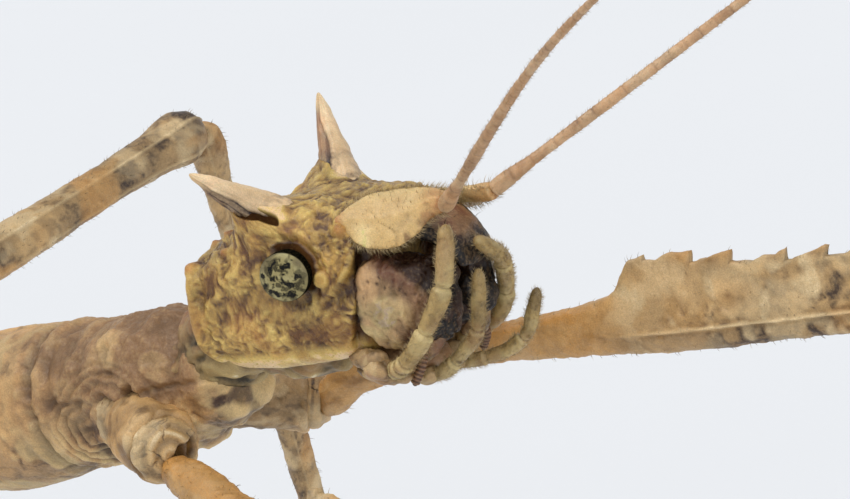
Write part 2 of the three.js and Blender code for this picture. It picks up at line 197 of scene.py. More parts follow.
# ---- Surfaces ----
# A surface is a grid of points, rings along a path by points around it. What changes along the
# path is a column of numbers, and what changes around it is a row.
def ring_shares(rings, caps, cap_rings):
    """Shares of the path, closer together where the ends round off."""
    start, end = caps
    turn = 1 - np.cos(np.linspace(0, math.pi / 2, cap_rings))
    middle = np.linspace(start, 1 - end, max(rings - 2 * cap_rings, 4))[1:-1]
    return np.concatenate([start * turn, middle, 1 - end * turn[::-1]])


def turns(around):
    """Angles round a ring, starting at its right or outer side."""
    return np.arange(around)[None] * 2 * math.pi / around


def squared(angle, powers):
    """Cosine and sine, pulled toward a box by powers below 1 and toward a blade by more."""
    return [np.sign(v) * np.abs(v) ** power
            for v, power in zip((np.cos(angle), np.sin(angle)), powers)]


def sweep(points, girth, side, rings=80, around=48, square=(1, 1), caps=(0.02, 0.02),
          cap_rings=10):
    """A tube along a smooth path, with the share of the path and the angle of its points.

    Rows of girth: share, half width, height, depth, shift across, shift up.
    """
    share = ring_shares(rings, caps, cap_rings)
    path = spine(points, share)
    forward = unit(np.gradient(path, axis=0))
    across = unit(side - forward * (forward @ side)[:, None])
    above = np.cross(forward, across)
    rows = np.zeros((len(girth), 6))
    for row, given in zip(rows, girth):
        row[: len(given)] = given
        if len(given) == 3:
            row[3] = given[2]
    sizes = smooth_interp(share, rows[:, 0], rows[:, 1:]).T
    width, top, bottom, drift, lift = sizes[..., None]
    share = share[:, None]
    round_off = 1.0
    for reach in (share / caps[0], (1 - share) / caps[1]):
        round_off = round_off * np.sqrt(np.maximum(1 - (1 - np.clip(reach, 0, 1)) ** 2, 0))
    angle = turns(around)
    c, s = squared(angle, square)
    out = width * round_off * c + drift
    up = np.where(s > 0, top, bottom) * round_off * s + lift
    grid = path[:, None] + across[:, None] * out[..., None] + above[:, None] * up[..., None]
    return grid, share, angle


def normals(grid):
    along = np.gradient(grid, axis=0)
    around = np.roll(grid, -1, 1) - np.roll(grid, 1, 1)
    found = unit(np.cross(around, along))
    found[0] = found[1]
    found[-1] = found[-2]
    return found


def raise_by(grid, height):
    """Moves each point out along its normal, fading out at the two ends."""
    fade = np.ones((len(grid), 1))
    fade[:4, 0] = fade[-4:, 0][::-1] = (0, 0.3, 0.6, 0.9)
    return grid + normals(grid) * (height * fade)[..., None]


def blank(grid):
    return np.zeros(grid.shape[:2])


def shell(grid, dark=0, pale=0, warm=0, relief=0.5):
    """Closes a grid's ends and keeps its marks: dark, pale and warm shares, and relief."""
    rings, around = grid.shape[:2]
    marks = np.stack([blank(grid) + m for m in (dark, pale, warm, relief)], -1)
    index = np.arange(rings * around).reshape(rings, around)
    following = np.roll(index, -1, 1)
    quads = np.stack([index[:-1], following[:-1], following[1:], index[1:]], -1).reshape(-1, 4)
    first, last = rings * around, rings * around + 1
    start = np.stack([np.full(around, first), following[0], index[0]], -1)
    end = np.stack([np.full(around, last), index[-1], following[-1]], -1)
    points = np.vstack([grid.reshape(-1, 3), grid[0].mean(0), grid[-1].mean(0)])
    flat = np.vstack([marks.reshape(-1, 4), marks[0].mean(0), marks[-1].mean(0)])
    return points, quads, np.vstack([start, end]), np.clip(flat, 0, 1)


def from_head(p):
    """From the head's own frame (forward, left, up) to the model's."""
    c, s = math.cos(HEAD_YAW), math.sin(HEAD_YAW)
    x, y, z = np.moveaxis(np.asarray(p, float), -1, 0)
    return np.stack([c * x - s * y, s * x + c * y, z + HEAD_HEIGHT], -1)


def build(name, material, points, quads, tris, marks):
    """One object, riding on the body, from points in millimetres and their faces and marks."""
    mesh = bpy.data.meshes.new(name)
    mesh.vertices.add(len(points))
    mesh.vertices.foreach_set("co", ((points + CENTRE) * MM).astype(np.float32).ravel())
    corners = np.concatenate([quads.ravel(), tris.ravel()])
    sizes = np.concatenate([np.full(len(quads), 4), np.full(len(tris), 3)])
    mesh.loops.add(len(corners))
    mesh.loops.foreach_set("vertex_index", corners.astype(np.int32))
    mesh.polygons.add(len(sizes))
    mesh.polygons.foreach_set("loop_start", (np.cumsum(sizes) - sizes).astype(np.int32))
    mesh.polygons.foreach_set("use_smooth", np.ones(len(sizes), bool))
    mesh.update(calc_edges=True)
    layer = mesh.attributes.new("marks", "FLOAT_COLOR", "POINT")
    layer.data.foreach_set("color", marks.astype(np.float32).ravel())
    mesh.materials.append(MATERIALS[material])
    made = bpy.data.objects.new(name, mesh)
    bpy.context.scene.collection.objects.link(made)
    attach(made, "root")
    return made


def piece(name, material, nodes, shells):
    """One object from several closed shells, standing for its solids."""
    starts = np.cumsum([0] + [len(points) for points, _, _, _ in shells])
    points, quads, tris, marks = zip(*shells)
    made = build(name, material, np.vstack(points),
                 np.vstack([q + start for q, start in zip(quads, starts)]),
                 np.vstack([t + start for t, start in zip(tris, starts)]), np.vstack(marks))
    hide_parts(*nodes)


def head_piece(name, material, slot, node, grid, *marks):
    """One object from one surface in the head's own frame."""
    piece(name, material, [node], [shell(from_head(grid), *marks)])


# ---- Materials ----
def colour(red, green, blue):
    """Linear colour from red, green and blue on the usual scale of 0 to 255."""
    def linear(v):
        v /= 255
        return v / 12.92 if v <= 0.04045 else ((v + 0.055) / 1.055) ** 2.4
    return (linear(red), linear(green), linear(blue), 1.0)


class Nodes:
    """Short names for the nodes that the materials use."""

    def __init__(self, name):
        self.material = bpy.data.materials.new(name)
        self.material.use_nodes = True
        self.tree = self.material.node_tree
        self.shader = self.tree.nodes["Principled BSDF"]

    def put(self, socket, value):
        """Links a socket to another node's, or sets it to a number or a colour."""
        if isinstance(value, bpy.types.NodeSocket):
            self.tree.links.new(value, socket)
        else:
            socket.default_value = value

    def put_all(self, node, inputs):
        for key, value in inputs.items():
            self.put(node.inputs[key.replace("_", " ")], value)

    def add(self, kind, **inputs):
        node = self.tree.nodes.new(kind)
        self.put_all(node, inputs)
        return node

    def noise(self, size_mm):
        place = self.add("ShaderNodeTexCoord").outputs["Object"]
        return self.add("ShaderNodeTexNoise", Vector=place, Scale=1 / (size_mm * MM), Detail=3.0,
                        Roughness=0.6).outputs["Fac"]

    def spread(self, value, low, high, to_low=0.0, to_high=1.0):
        return self.add("ShaderNodeMapRange", Value=value, From_Min=low, From_Max=high,
                        To_Min=to_low, To_Max=to_high).outputs[0]

    def math(self, kind, a, b):
        node = self.tree.nodes.new("ShaderNodeMath")
        node.operation = kind
        self.put(node.inputs[0], a)
        self.put(node.inputs[1], b)
        return node.outputs[0]

    def mix(self, share, a, b, kind="MIX"):
        node = self.tree.nodes.new("ShaderNodeMix")
        node.data_type = "RGBA"
        node.blend_type = kind
        for number, value in ((0, share), (6, a), (7, b)):
            self.put(node.inputs[number], value)
        return node.outputs[2]

    def finish(self, **inputs):
        self.put_all(self.shader, inputs)
        return self.material


def cuticle(name, base, dark, pale, warm, cream=None, rough=(0.36, 0.6), grain=0.07, bump=0.008,
            soft=0.12, depth=0.5, shine=0.45):
    """Insect skin: its marks choose between its colours, and fine noise breaks them up."""
    n = Nodes(name)
    marks = n.add("ShaderNodeAttribute")
    marks.attribute_name = "marks"
    split = n.add("ShaderNodeSeparateColor", Color=marks.outputs["Color"])
    fine = n.noise(grain)
    finer = n.noise(grain * 0.35)
    broad = n.noise(grain * 9)
    wobble = n.math("MULTIPLY", n.math("SUBTRACT", fine, 0.5), 1.1)
    darkness, paleness, warmth = split.outputs
    shade = base
    for share, tint, low, high in ((darkness, dark, 0.0, 1.0), (paleness, pale, 0.0, 0.8),
                                   (paleness, cream or pale, 0.72, 1.0),
                                   (warmth, warm, 0.0, 1.0)):
        edge = n.spread(n.math("ADD", share, n.math("MULTIPLY", wobble, share)), low, high)
        shade = n.mix(edge, shade, tint)
    relief = marks.outputs["Alpha"]
    # Painted shade and light: low relief darkens the colour, as shade in hollows, and high relief
    # lightens it. depth sets how dark this painted shade gets, and light multiplies it with random
    # tone.
    hollow = n.spread(relief, 0.1, 0.8, depth, 1.15)
    speckle = n.spread(finer, 0.3, 0.7, 0.8, 1.16)
    drift = n.spread(broad, 0.3, 0.7, 0.88, 1.1)
    light = n.math("MULTIPLY", n.math("MULTIPLY", hollow, speckle), drift)
    grey = n.add("ShaderNodeCombineColor", Red=light, Green=light, Blue=light)
    lumps = n.add("ShaderNodeBump", Height=fine, Distance=bump * MM, Strength=1.0)
    ridges = n.add("ShaderNodeBump", Height=finer, Distance=bump * 0.45 * MM, Strength=1.0,
                   Normal=lumps.outputs[0])
    return n.finish(Base_Color=n.mix(1.0, shade, grey.outputs[0], "MULTIPLY"),
                    Roughness=n.spread(fine, 0.3, 0.7, *rough), Normal=ridges.outputs[0],
                    Subsurface_Weight=soft, Subsurface_Scale=0.06 * MM,
                    Subsurface_Radius=(1.0, 0.6, 0.35),
                    Specular_IOR_Level=n.spread(relief, 0.02, 0.25, 0.0, shine))


# Colours: base, dark, pale, warm and, for some, cream.
MATERIALS = {
    "head": cuticle(
        "head_cuticle", colour(182, 144, 76), colour(82, 52, 34), colour(212, 184, 106),
        colour(166, 110, 54), colour(224, 192, 144),
        rough=(0.22, 0.45), grain=0.055, bump=0.02, depth=0.32),
    "horn": cuticle(
        "horn_cuticle", colour(222, 190, 146), colour(50, 32, 30), colour(238, 210, 168),
        colour(208, 158, 116), rough=(0.36, 0.52), grain=0.06, bump=0.004, soft=0.2),
    # The eye's warm colour is used for painted shade over the upper dome.
    "eye": cuticle(
        "eye_surface", colour(156, 144, 98), colour(12, 11, 9), colour(180, 170, 124),
        colour(98, 86, 66), rough=(0.36, 0.5), grain=0.03, bump=0.002, soft=0.0, shine=0.16),
    "scape": cuticle(
        "scape_cuticle", colour(206, 172, 114), colour(110, 76, 46), colour(224, 198, 142),
        colour(186, 128, 78), colour(196, 190, 112), rough=(0.38, 0.55), soft=0.15),
    "flagellum": cuticle(
        "flagellum_cuticle", colour(196, 156, 116), colour(112, 80, 58), colour(212, 182, 144),
        colour(186, 136, 88), rough=(0.4, 0.55), grain=0.05, bump=0.005, soft=0.15),
    "jaw": cuticle(
        "jaw_cuticle", colour(204, 166, 118), colour(20, 14, 12), colour(214, 190, 134),
        colour(112, 70, 48), colour(218, 190, 160),
        rough=(0.3, 0.5), grain=0.055, bump=0.016, soft=0.05, shine=0.4),
    "palp": cuticle(
        "palp_cuticle", colour(174, 146, 92), colour(64, 48, 32), colour(202, 180, 126),
        colour(150, 108, 70), rough=(0.34, 0.5), grain=0.045, bump=0.01),
    "mouth": cuticle(
        "mouth_parts_cuticle", colour(180, 146, 100), colour(44, 32, 24), colour(200, 174, 128),
        colour(160, 108, 78), rough=(0.3, 0.5), grain=0.055, bump=0.014, soft=0.08),
    "membrane": cuticle(
        "neck_membrane", colour(154, 130, 86), colour(56, 48, 32), colour(180, 158, 108),
        colour(140, 100, 66), colour(214, 204, 172),
        rough=(0.4, 0.55), bump=0.014, soft=0.06, shine=0.35),
    "body": cuticle(
        "body_cuticle", colour(208, 164, 108), colour(78, 54, 38), colour(212, 184, 130),
        colour(134, 100, 66), colour(178, 138, 104),
        rough=(0.38, 0.58), grain=0.08, bump=0.018, soft=0.05),
    "leg": cuticle(
        "leg_cuticle", colour(198, 162, 110), colour(66, 48, 34), colour(210, 184, 140),
        colour(200, 146, 78), colour(222, 198, 156), rough=(0.38, 0.58), bump=0.014, soft=0.05),
    "bristle": cuticle(
        "bristle_cuticle", colour(196, 172, 126), colour(50, 36, 26), colour(230, 212, 170),
        colour(150, 100, 60), rough=(0.3, 0.4), grain=0.05, bump=0.001, soft=0.0),
}


# ---- Head ----
# Rows: x, half width, height above the centre line, depth below it, the centre line's height.
HEAD_ROWS = np.array([
    [-2.86, 0.8, 0.5, 0.5, -0.62], [-2.72, 1.36, 0.78, 0.86, -0.62],
    [-2.3, 1.54, 1.08, 1.12, -0.6], [-1.5, 1.6, 1.36, 1.36, -0.52],
    [-0.7, 1.62, 1.56, 1.42, -0.47], [0.0, 1.58, 1.58, 1.4, -0.47],
    [0.6, 1.5, 1.47, 1.3, -0.46], [1.1, 1.36, 1.3, 1.12, -0.42], [1.4, 1.05, 1.0, 0.9, -0.4],
])
HEAD_BACK, HEAD_FRONT = HEAD_ROWS[0, 0], HEAD_ROWS[-1, 0]
# The ridge that curves down the cheek from the feeler's root, and the seam in front of it:
# heights, and how far forward each is there.
RIDGE_HEIGHTS = [-0.56, -0.46, -0.3, -0.1, 0.2, 0.6]
RIDGE_FORWARD = [0.42, 0.6, 0.84, 1.0, 1.12, 1.16]
SUTURE_HEIGHTS = [-1.7, -1.3, -0.67, 0.2, 0.6]
SUTURE_FORWARD = [0.56, 0.8, 1.1, 1.22, 1.34]
# Round places on the left side, and the same on the right: x, y, z, radius and strength.
OCELLUS = [(0.47, 1.5, -0.2, 0.23, 1)]
KNOBS = [(-1.66, 1.4, 0.43, 0.16, 1), (-1.8, 1.0, 0.68, 0.2, 1), (-2.58, 1.28, 0.14, 0.22, 1),
         (-2.5, 0.5, 0.42, 0.2, 1), (-1.05, 1.4, 0.82, 0.14, 1), (0.95, 1.26, 0.6, 0.18, 1)]
FEELER_SOCKET = [(0.95, 1.15, 0.62, 0.45, 1)]
PURPLE = [(-1.46, 1.58, -0.92, 0.72, 1), (-2.1, 1.55, -0.05, 0.5, 0.7),
          (-0.35, 1.55, -1.22, 0.34, 0.8), (-0.5, 1.6, -0.8, 0.4, 0.6),
          (0.45, 1.5, -0.55, 0.26, 0.8), (0.35, 1.5, -1.0, 0.22, 0.6),
          (-1.2, 1.5, 0.35, 0.5, 0.6), (0.3, 1.5, 0.75, 0.5, 0.5)]
# The groove under the horn is sunk and also painted dark, as shade.
GROOVE_START, GROOVE_END = (-0.62, 1.27, 0.86), (-0.26, 1.31, 0.78)  # under the horn
EYE_HOLLOW = 0.56  # radius of the hollow that the eye stands in
# Horns, on the left: the root, the way out of the head, and the way that the broad face looks.
HORN_ROOT = (-0.36, 0.8, 0.66)
HORN_AXIS = (-0.54, 0.62, 0.68)
HORN_FACE = (0.75, 0.2, 0.65)
HORN_FLARE = 0.58  # how far the head's skin rises along a horn's root


def frontal_ridge(p):
    """Distance to the ridge, and how far in front of it a place on the cheek is."""
    steps = np.linspace(RIDGE_HEIGHTS[0], RIDGE_HEIGHTS[-1], 40)
    line = np.stack([np.interp(steps, RIDGE_HEIGHTS, RIDGE_FORWARD), steps], -1)
    near = np.min(np.linalg.norm(p[..., None, [0, 2]] - line, axis=-1), axis=-1)
    return near, p[..., 0] - np.interp(p[..., 2], RIDGE_HEIGHTS, RIDGE_FORWARD)


def horn_flare(p):
    """How near each place is to a horn's axis, the pull along it, and how far in front."""
    share, way, front = np.zeros(p.shape[:-1]), np.zeros(p.shape), np.zeros(p.shape[:-1])
    for s in SIDES.values():
        axis = unit(mirrored(HORN_AXIS, s))
        rel = p - mirrored(HORN_ROOT, s)
        along = rel @ axis
        away = np.linalg.norm(rel - along[..., None] * axis, axis=-1)
        near = np.clip((1.15 - away) / 0.85, 0, 1) * ramp(along, -0.1, 0.5)
        share += near
        way += near[..., None] ** 2 * axis
        front += (near > 0) * (rel @ unit(mirrored(HORN_FACE, s)))
    return share, way, front


def beside_line(p, start, end):
    """Distance to the straight line between two places."""
    start, end = np.asarray(start), np.asarray(end)
    share = np.clip((p - start) @ (end - start) / np.sum((end - start) ** 2), 0, 1)
    return np.linalg.norm(p - start - share[..., None] * (end - start), axis=-1)


def head_skin():
    length = HEAD_FRONT - HEAD_BACK
    girth = [[(x - HEAD_BACK) / length, w, t, b, 0, c] for x, w, t, b, c in HEAD_ROWS]
    p, _, _ = sweep([[HEAD_BACK, 0, 0], [HEAD_FRONT, 0, 0]], girth, Y, rings=290, around=420,
                    square=(0.56, 0.62), caps=(0.02, 0.03))
    x, y, z = p[..., 0], np.abs(p[..., 1]), p[..., 2]
    folded = np.stack([x, y, z], -1)  # with the right side laid on the left
    cheek = ramp(y, 0.85, 1.25)
    low_rim = ramp(z, -1.42, -1.62) * ramp(y, 0.8, 1.1)
    collar = ramp(x, -2.42, -2.6)
    rag = noise(p, 5.0, 29, 2)
    ocellus, knob, socket, purple = (domes(folded, rows)
                                     for rows in (OCELLUS, KNOBS, FEELER_SOCKET, PURPLE))
    around_eye = np.hypot(x + 0.12, z) + FAR * (y < 1.2)
    eye_rim = band(around_eye - EYE_HOLLOW, 0.12)
    # Painted shadow: eye_shade is a near-black crescent beside the eye's drum, on its front and
    # upper side.
    eye_shade = ramp(around_eye + 0.03 * rag, 0.57, 0.5) * ramp(x + 0.6 * z, -0.35, 0.0)
    # Painted shade: the groove under the horn is painted dark as well as sunk.
    groove = ramp(beside_line(folded, GROOVE_START, GROOVE_END) + 0.05 * rag, 0.12, 0.05)
    flare, way, ahead_of_horn = horn_flare(p)
    fine = warped(p, 3.0, 0.1, 60)
    broad = warped(p, 1.2, 0.2, 64)
    bare = ramp(flare + 0.2 * noise(broad, 2.4, 19), 0.4, 0.6)
    bare = bare * ramp(ahead_of_horn, -0.05, 0.35) * ramp(z + 0.06 * rag, 0.72, 0.84)
    lens = ramp(ocellus, 0.1, 0.5)
    rough = 1 - 0.85 * np.clip(low_rim + 0.8 * collar, 0, 1)
    rough = rough * (1 - 0.6 * bare) * (1 - lens)

    near, ahead = frontal_ridge(p)
    near = np.where(y > 0.8, near, FAR)
    below = cheek * ramp(ahead, 0.0, 0.1) * ramp(z, -0.8, -0.5) * ramp(z, 0.75, 0.5)
    suture = x - np.interp(z, SUTURE_HEIGHTS, SUTURE_FORWARD)
    closing = cheek * ramp(z, 0.7, 0.4)

    coarse = noise(fine, 4.4, 21)
    pebbles = noise(fine, 8.0, 22, 2)
    grains = noise(fine, 13.0, 23, 2)
    apart, kind = cells(fine, 6.4, seed=5)
    islands = ramp(apart + 0.12 * pebbles, 0.45, 0.12) * (kind > 0.45)
    apart, kind = cells(warped(p, 1.4, 0.16, 70), 3.0, seed=3)
    warts = np.clip(1 - apart / 0.36, 0, 1) * ramp(kind, 0.7, 0.9)
    folds = noise(broad * [0.8, 1.2, 1.2], 2.2, 81)
    veins = band(noise(fine, 2.8, 8), 0.16, 0.02)
    lines = band(noise(fine * [1.25, 1, 0.75], 5.0, 28), 0.2, 0.02)
    height = 0.03 * folds + 0.05 * warts + 0.022 * coarse + 0.024 * pebbles
    height = (height + 0.026 * islands - 0.012 * veins) * rough + 0.05 * noise(p, 0.9, 1)
    height += 0.07 * low_rim * ramp(x, 1.0, 0.7) + 0.05 * collar
    height += 0.1 * ramp(near, 0.12, 0.03) - 0.1 * below
    height -= 0.16 * ramp(suture, -0.1, 0.02) * closing
    height += 0.1 * knob + 0.05 * socket - 0.07 * eye_rim - 0.12 * groove
    height = height * (1 - lens) + 0.1 * lens
    grid = raise_by(p, height) + HORN_FLARE * way

    patch = spots(broad, 0.85, 9, -0.1, 0.5)
    shade = spots(broad, 1.4, 11, -0.1, 0.5)
    dark = 0.4 * ramp(pebbles, 0.02, -0.4) + 0.26 * ramp(coarse, 0.0, -0.45)
    dark += 0.3 * ramp(grains, 0.05, 0.4) + 0.3 * veins * (0.35 + 0.65 * patch)
    dark += 0.3 * lines * (0.4 + 0.6 * shade) + 0.12 * shade
    dark += 0.36 * spots(fine, 3.0, 10, 0.1, 0.4) * (0.2 + patch)
    dark *= 0.15 + 0.85 * rough
    dark += 0.62 * np.clip(purple, 0, 1) * spots(fine, 3.0, 15, -0.4, 0.3) * (1 - 0.7 * islands)
    # Painted shadow: past the seam in front of the cheek the skin is painted near black, as the
    # deep shade of the gap before the jaw.
    dark += 0.4 * below * (0.4 + 0.6 * veins) + ramp(suture, -0.05, 0.03) * closing
    # Painted shadow beside the eye, and painted shade in the groove under the horn.
    dark += eye_shade + groove + 0.5 * ramp(ocellus, 0.0, 0.04) * ramp(ocellus, 0.14, 0.05)
    dark = np.clip(dark, 0, 1) * (1 - 0.9 * lens)
    pale = 0.62 * islands * rough + 0.4 * ramp(near, 0.07, 0.02) + 0.5 * warts
    pale += 0.35 * ramp(pebbles, 0.1, 0.5) * (1 - patch) * rough
    pale += 0.2 * (1 - patch) * ramp(folds, -0.1, 0.4)
    pale = np.clip(pale * (1 - 0.9 * dark), 0, 0.7)
    pale = np.maximum(pale, 0.34 * lens * ramp(ocellus, 0.9, 0.5))
    pale = np.maximum(pale, 0.95 * low_rim * spots(p, 2.0, 16, -0.9, 0.0))
    # The groove keeps its painted shade, free of pale.
    pale = np.maximum(pale, 1.1 * bare) * (1 - np.clip(groove, 0, 1))
    warm = 0.7 * knob + 0.3 * spots(broad, 1.5, 14, 0.15, 0.6) * (1 - bare)
    warm += 0.35 * purple * (1 - patch) + 0.15 * bare * spots(p, 2.4, 17, 0.0, 0.5)
    # Painted shade: the relief is zeroed beside the eye and in the groove, so the colour goes
    # darkest there.
    relief = (0.6 + 2.6 * height) * (1 - np.clip(eye_shade + groove, 0, 1))
    head_piece("head_skin", "head", "head", "head", grid, dark, pale, warm * (1 - lens), relief)


# ---- Eyes and horns ----
# The eye bulges as a short drum with a low dome on it, level with the head's centre.
EYE_FORWARD = -0.05
EYE_WIDTH, EYE_HEIGHT = 0.47, 0.46  # half of each
# Blots on the dome: forward, up and radius.
EYE_BLOTS = [(0.02, -0.01, 0.13), (-0.1, 0.29, 0.05), (0.18, 0.23, 0.06), (-0.38, 0.04, 0.06),
             (-0.37, -0.06, 0.05), (-0.29, -0.21, 0.045), (-0.18, -0.3, 0.05),
             (-0.04, -0.31, 0.05), (0.08, -0.31, 0.045), (-0.13, 0.02, 0.05),
             (0.12, -0.13, 0.05), (-0.2, 0.15, 0.04), (0.28, -0.03, 0.04), (0.04, 0.2, 0.05)]
HORN_TIPS = {"right": (-1.42, -2.17, 2.13), "left": (-1.5, 2.16, 2.44)}


def eye(label, s):
    profile = [[0, 0.44, 0.43], [0.3, 0.45, 0.44], [0.6, 0.48, 0.46], [0.8, 0.48, 0.46],
               [1, 0.42, 0.41]]
    p, _, _ = sweep([[EYE_FORWARD - 0.14, 1.4 * s, 0], [EYE_FORWARD, 2.0 * s, 0]], profile, X,
                    rings=110, around=120, caps=(0.02, 0.22), cap_rings=60)
    x, z = p[..., 0] - EYE_FORWARD, p[..., 2]
    out = np.hypot(x / EYE_WIDTH, z / EYE_HEIGHT)
    top = ramp(normals(p) @ unit(np.array([0.2, s, 0.0])), 0.45, 0.75)
    q = warped(p, 4.0, 0.06, 26)
    ragged = 0.1 * noise(p, 9.0, 21)
    blots = np.maximum.reduce([
        ramp(np.hypot(x - forward, z - up) + ragged, radius * 0.95, radius * 0.35)
        for forward, up, radius in EYE_BLOTS])
    mottle = spots(q, 15.0, 20, 0.02, 0.36) * ramp(out, 1.0, 0.7) * 0.8
    specks = spots(q, 7.0, 24, 0.14, 0.4, 2) * 0.75
    ring = band(out - 0.98, 0.05, 0.01)
    # The drum's side wall, where top is low, is painted dark, partly as black pigment and partly as
    # painted shade; its low relief adds more painted shade.
    dark = np.maximum.reduce([1 - top, blots, mottle, specks, 0.6 * ring * top])
    # Painted shade: shaded darkens the upper dome in the warm colour.
    shaded = spots(p, 2.6, 22, -0.3, 0.4) * ramp(z, -0.3, 0.2)
    head_piece(f"eye_{label}_dome", "eye", "eye", f"eye_{label}", p, dark,
               0.4 * spots(p, 4.0, 23, 0.0, 0.4) * (1 - dark), 0.75 * shaded * (1 - dark),
               0.55 * top)


def horn(label, s):
    girth = [[0, 0.42, 0.36, 0.32], [0.2, 0.41, 0.35, 0.32], [0.4, 0.35, 0.3, 0.28],
             [0.6, 0.26, 0.21, 0.2], [0.8, 0.17, 0.13, 0.14], [0.93, 0.08, 0.07, 0.07],
             [1, 0.025, 0.025, 0.025]]
    path = [mirrored(HORN_ROOT, s), (-0.9, 1.42 * s, 1.34), HORN_TIPS[label]]
    p, share, _ = sweep(path, girth, mirrored(HORN_FACE, s), rings=140, around=96,
                        square=(0.85, 1.1), caps=(0.02, 0.03))
    behind = normals(p) @ unit(np.array([-0.87, -0.1 * s, -0.48]))
    along = p @ np.array([-0.45, 0.62 * s, 0.64])
    edge = behind + 0.16 * noise(p, 2.0, 36)
    streak = noise(np.stack([behind * 1.3, along * 0.35, 0 * behind], -1), 5.0, 34)
    ripples = noise(np.stack([behind * 2.0, along * 0.6, 0 * behind], -1), 4.0, 37)
    height = 0.018 * noise(p, 2.2, 30) + 0.01 * noise(p, 6.0, 31, 2) + 0.01 * ripples
    height -= 0.03 * band(edge + 0.1, 0.14)
    # The underside, turned away from the light, is darker: partly its own pigment, partly painted
    # shade.
    under = ramp(edge, -0.42, -0.1)
    near_root = ramp(share, 0.55, 0.32)
    fine = warped(p, 3.0, 0.1, 60)
    dark = under * (0.65 + 0.35 * ramp(streak, -0.2, 0.3)) * ramp(share, 0.93, 0.75)
    dark += 0.22 * near_root * (spots(fine, 4.4, 21, 0.1, -0.4)
                                + spots(fine, 8.0, 22, 0.1, -0.4, 2))
    dark += 0.2 * ramp(ripples, 0.1, 0.5) * (1 - under)
    pale = 0.6 * ramp(share, 0.5, 0.95) + 0.3 * spots(p, 3.0, 35, 0.1, 0.5)
    warm = 0.5 * spots(p, 1.4, 33, -0.1, 0.5) * (1 - near_root)
    head_piece(f"horn_{label}_shell", "horn", "horn", f"horn_{label}", raise_by(p, height), dark,
               pale * (1 - under), warm, 0.6 + height * 5)


# ---- Feelers ----
# A scape is a leaf, tilted by so many degrees; a flagellum runs on from its end.
SCAPES = {
    "right": {"from": (0.84, -1.18, 0.78), "to": (3.0, -0.7, 0.78), "tilt": 53, "girth": [
        [0, 0.06, 0.08, 0.08], [0.06, 0.17, 0.1, 0.1, 0.0], [0.12, 0.3, 0.12, 0.12, 0.03],
        [0.25, 0.48, 0.12, 0.12, 0.08], [0.4, 0.56, 0.12, 0.12, 0.1],
        [0.6, 0.55, 0.12, 0.12, 0.09], [0.75, 0.45, 0.13, 0.13, 0.02],
        [0.86, 0.31, 0.15, 0.15, -0.07], [0.95, 0.22, 0.17, 0.17, -0.08],
        [1, 0.18, 0.16, 0.16, -0.06]]},
    "left": {"from": (0.72, 0.9, 0.5), "to": (3.0, 0.76, 0.62), "tilt": 33, "girth": [
        [0, 0.07, 0.1, 0.1], [0.1, 0.22, 0.12, 0.12], [0.24, 0.42, 0.12, 0.12, 0.02],
        [0.45, 0.55, 0.12, 0.12, 0.05], [0.62, 0.5, 0.12, 0.12, 0.06],
        [0.82, 0.28, 0.14, 0.14, 0.02], [0.94, 0.2, 0.17, 0.17, 0.0], [1, 0.18, 0.16, 0.16, 0.0]]},
}
FLAGELLUM_ROOTS = {"right": (2.94, -0.7, 0.76), "left": (2.94, 0.76, 0.62)}
FLAGELLUM_REACH = np.array([0.765, 0.493, 0.414]) * 13.4
FLAGELLUM_JOINTS = np.concatenate([[0.035, 0.07, 0.11], np.linspace(0.15, 1, 34)])
BOW = {"right": 0.35, "left": 0.05}  # how far its middle is bent up


def scape(label, s):
    given = SCAPES[label]
    tilt = math.radians(given["tilt"])
    leaf = np.array([0, s * math.cos(tilt), -math.sin(tilt)])
    p, share, angle = sweep([given["from"], given["to"]], given["girth"], leaf, rings=140,
                            around=100, square=(1, 1.35), caps=(0.015, 0.02))
    low = np.cos(angle)  # 1 at the leaf's lower edge and -1 at its upper one
    saw = np.abs((share * 17) % 1 - 0.5) * ramp(low, 0.75, 0.98)
    rib = band(low, 0.25) * ramp(share, 0.05, 0.3)
    veins = band(noise(warped(p, 2.0, 0.1, 46) * [0.6, 1.6, 1.6], 3.0, 41), 0.12)
    height = 0.016 * noise(p, 2.2, 42) + 0.016 * rib + 0.006 * veins + 0.014 * saw
    height += 0.008 * noise(p, 7.0, 47, 2)
    grid = raise_by(p, height)
    tip = ramp(share, 0.72, 0.95)
    start = ramp(share, 0.12, 0.0)
    # The lower edge is darker and more mottled: partly its own mottling, partly painted shade.
    lower = ramp(low, -0.2, 0.8) * ramp(share, 0.3, 0.7)
    dark = 0.22 * spots(p, 3.2, 43, 0.2, 0.5) * (0.4 + lower + tip) + 0.12 * veins
    dark += 0.3 * spots(p, 9.0, 48, 0.45, 0.7, 1) * (0.3 + lower) + 0.2 * tip * lower
    dark += 0.4 * start * spots(p, 3.0, 49, -0.1, 0.3)
    green = np.exp(-((share - 0.27) / 0.07) ** 2) * ramp(low, 0.0, 0.5)
    # The upper edge is paler: partly a row of pale hairs, partly a painted highlight.
    pale = 0.5 * ramp(-low, 0.5, 1.0) + 0.25 * spots(p, 1.6, 44, 0.1, 0.5) * (1 - tip)
    pale = np.maximum(np.clip(pale, 0, 0.68), 0.82 * green)
    warm = 0.5 * tip + 0.7 * start + 0.25 * spots(p, 1.3, 45, 0.1, 0.5)
    head_piece(f"scape_{label}_leaf", "scape", "feeler", f"scape_{label}", grid, dark, pale, warm,
               0.62 + height * 4)
    return grid


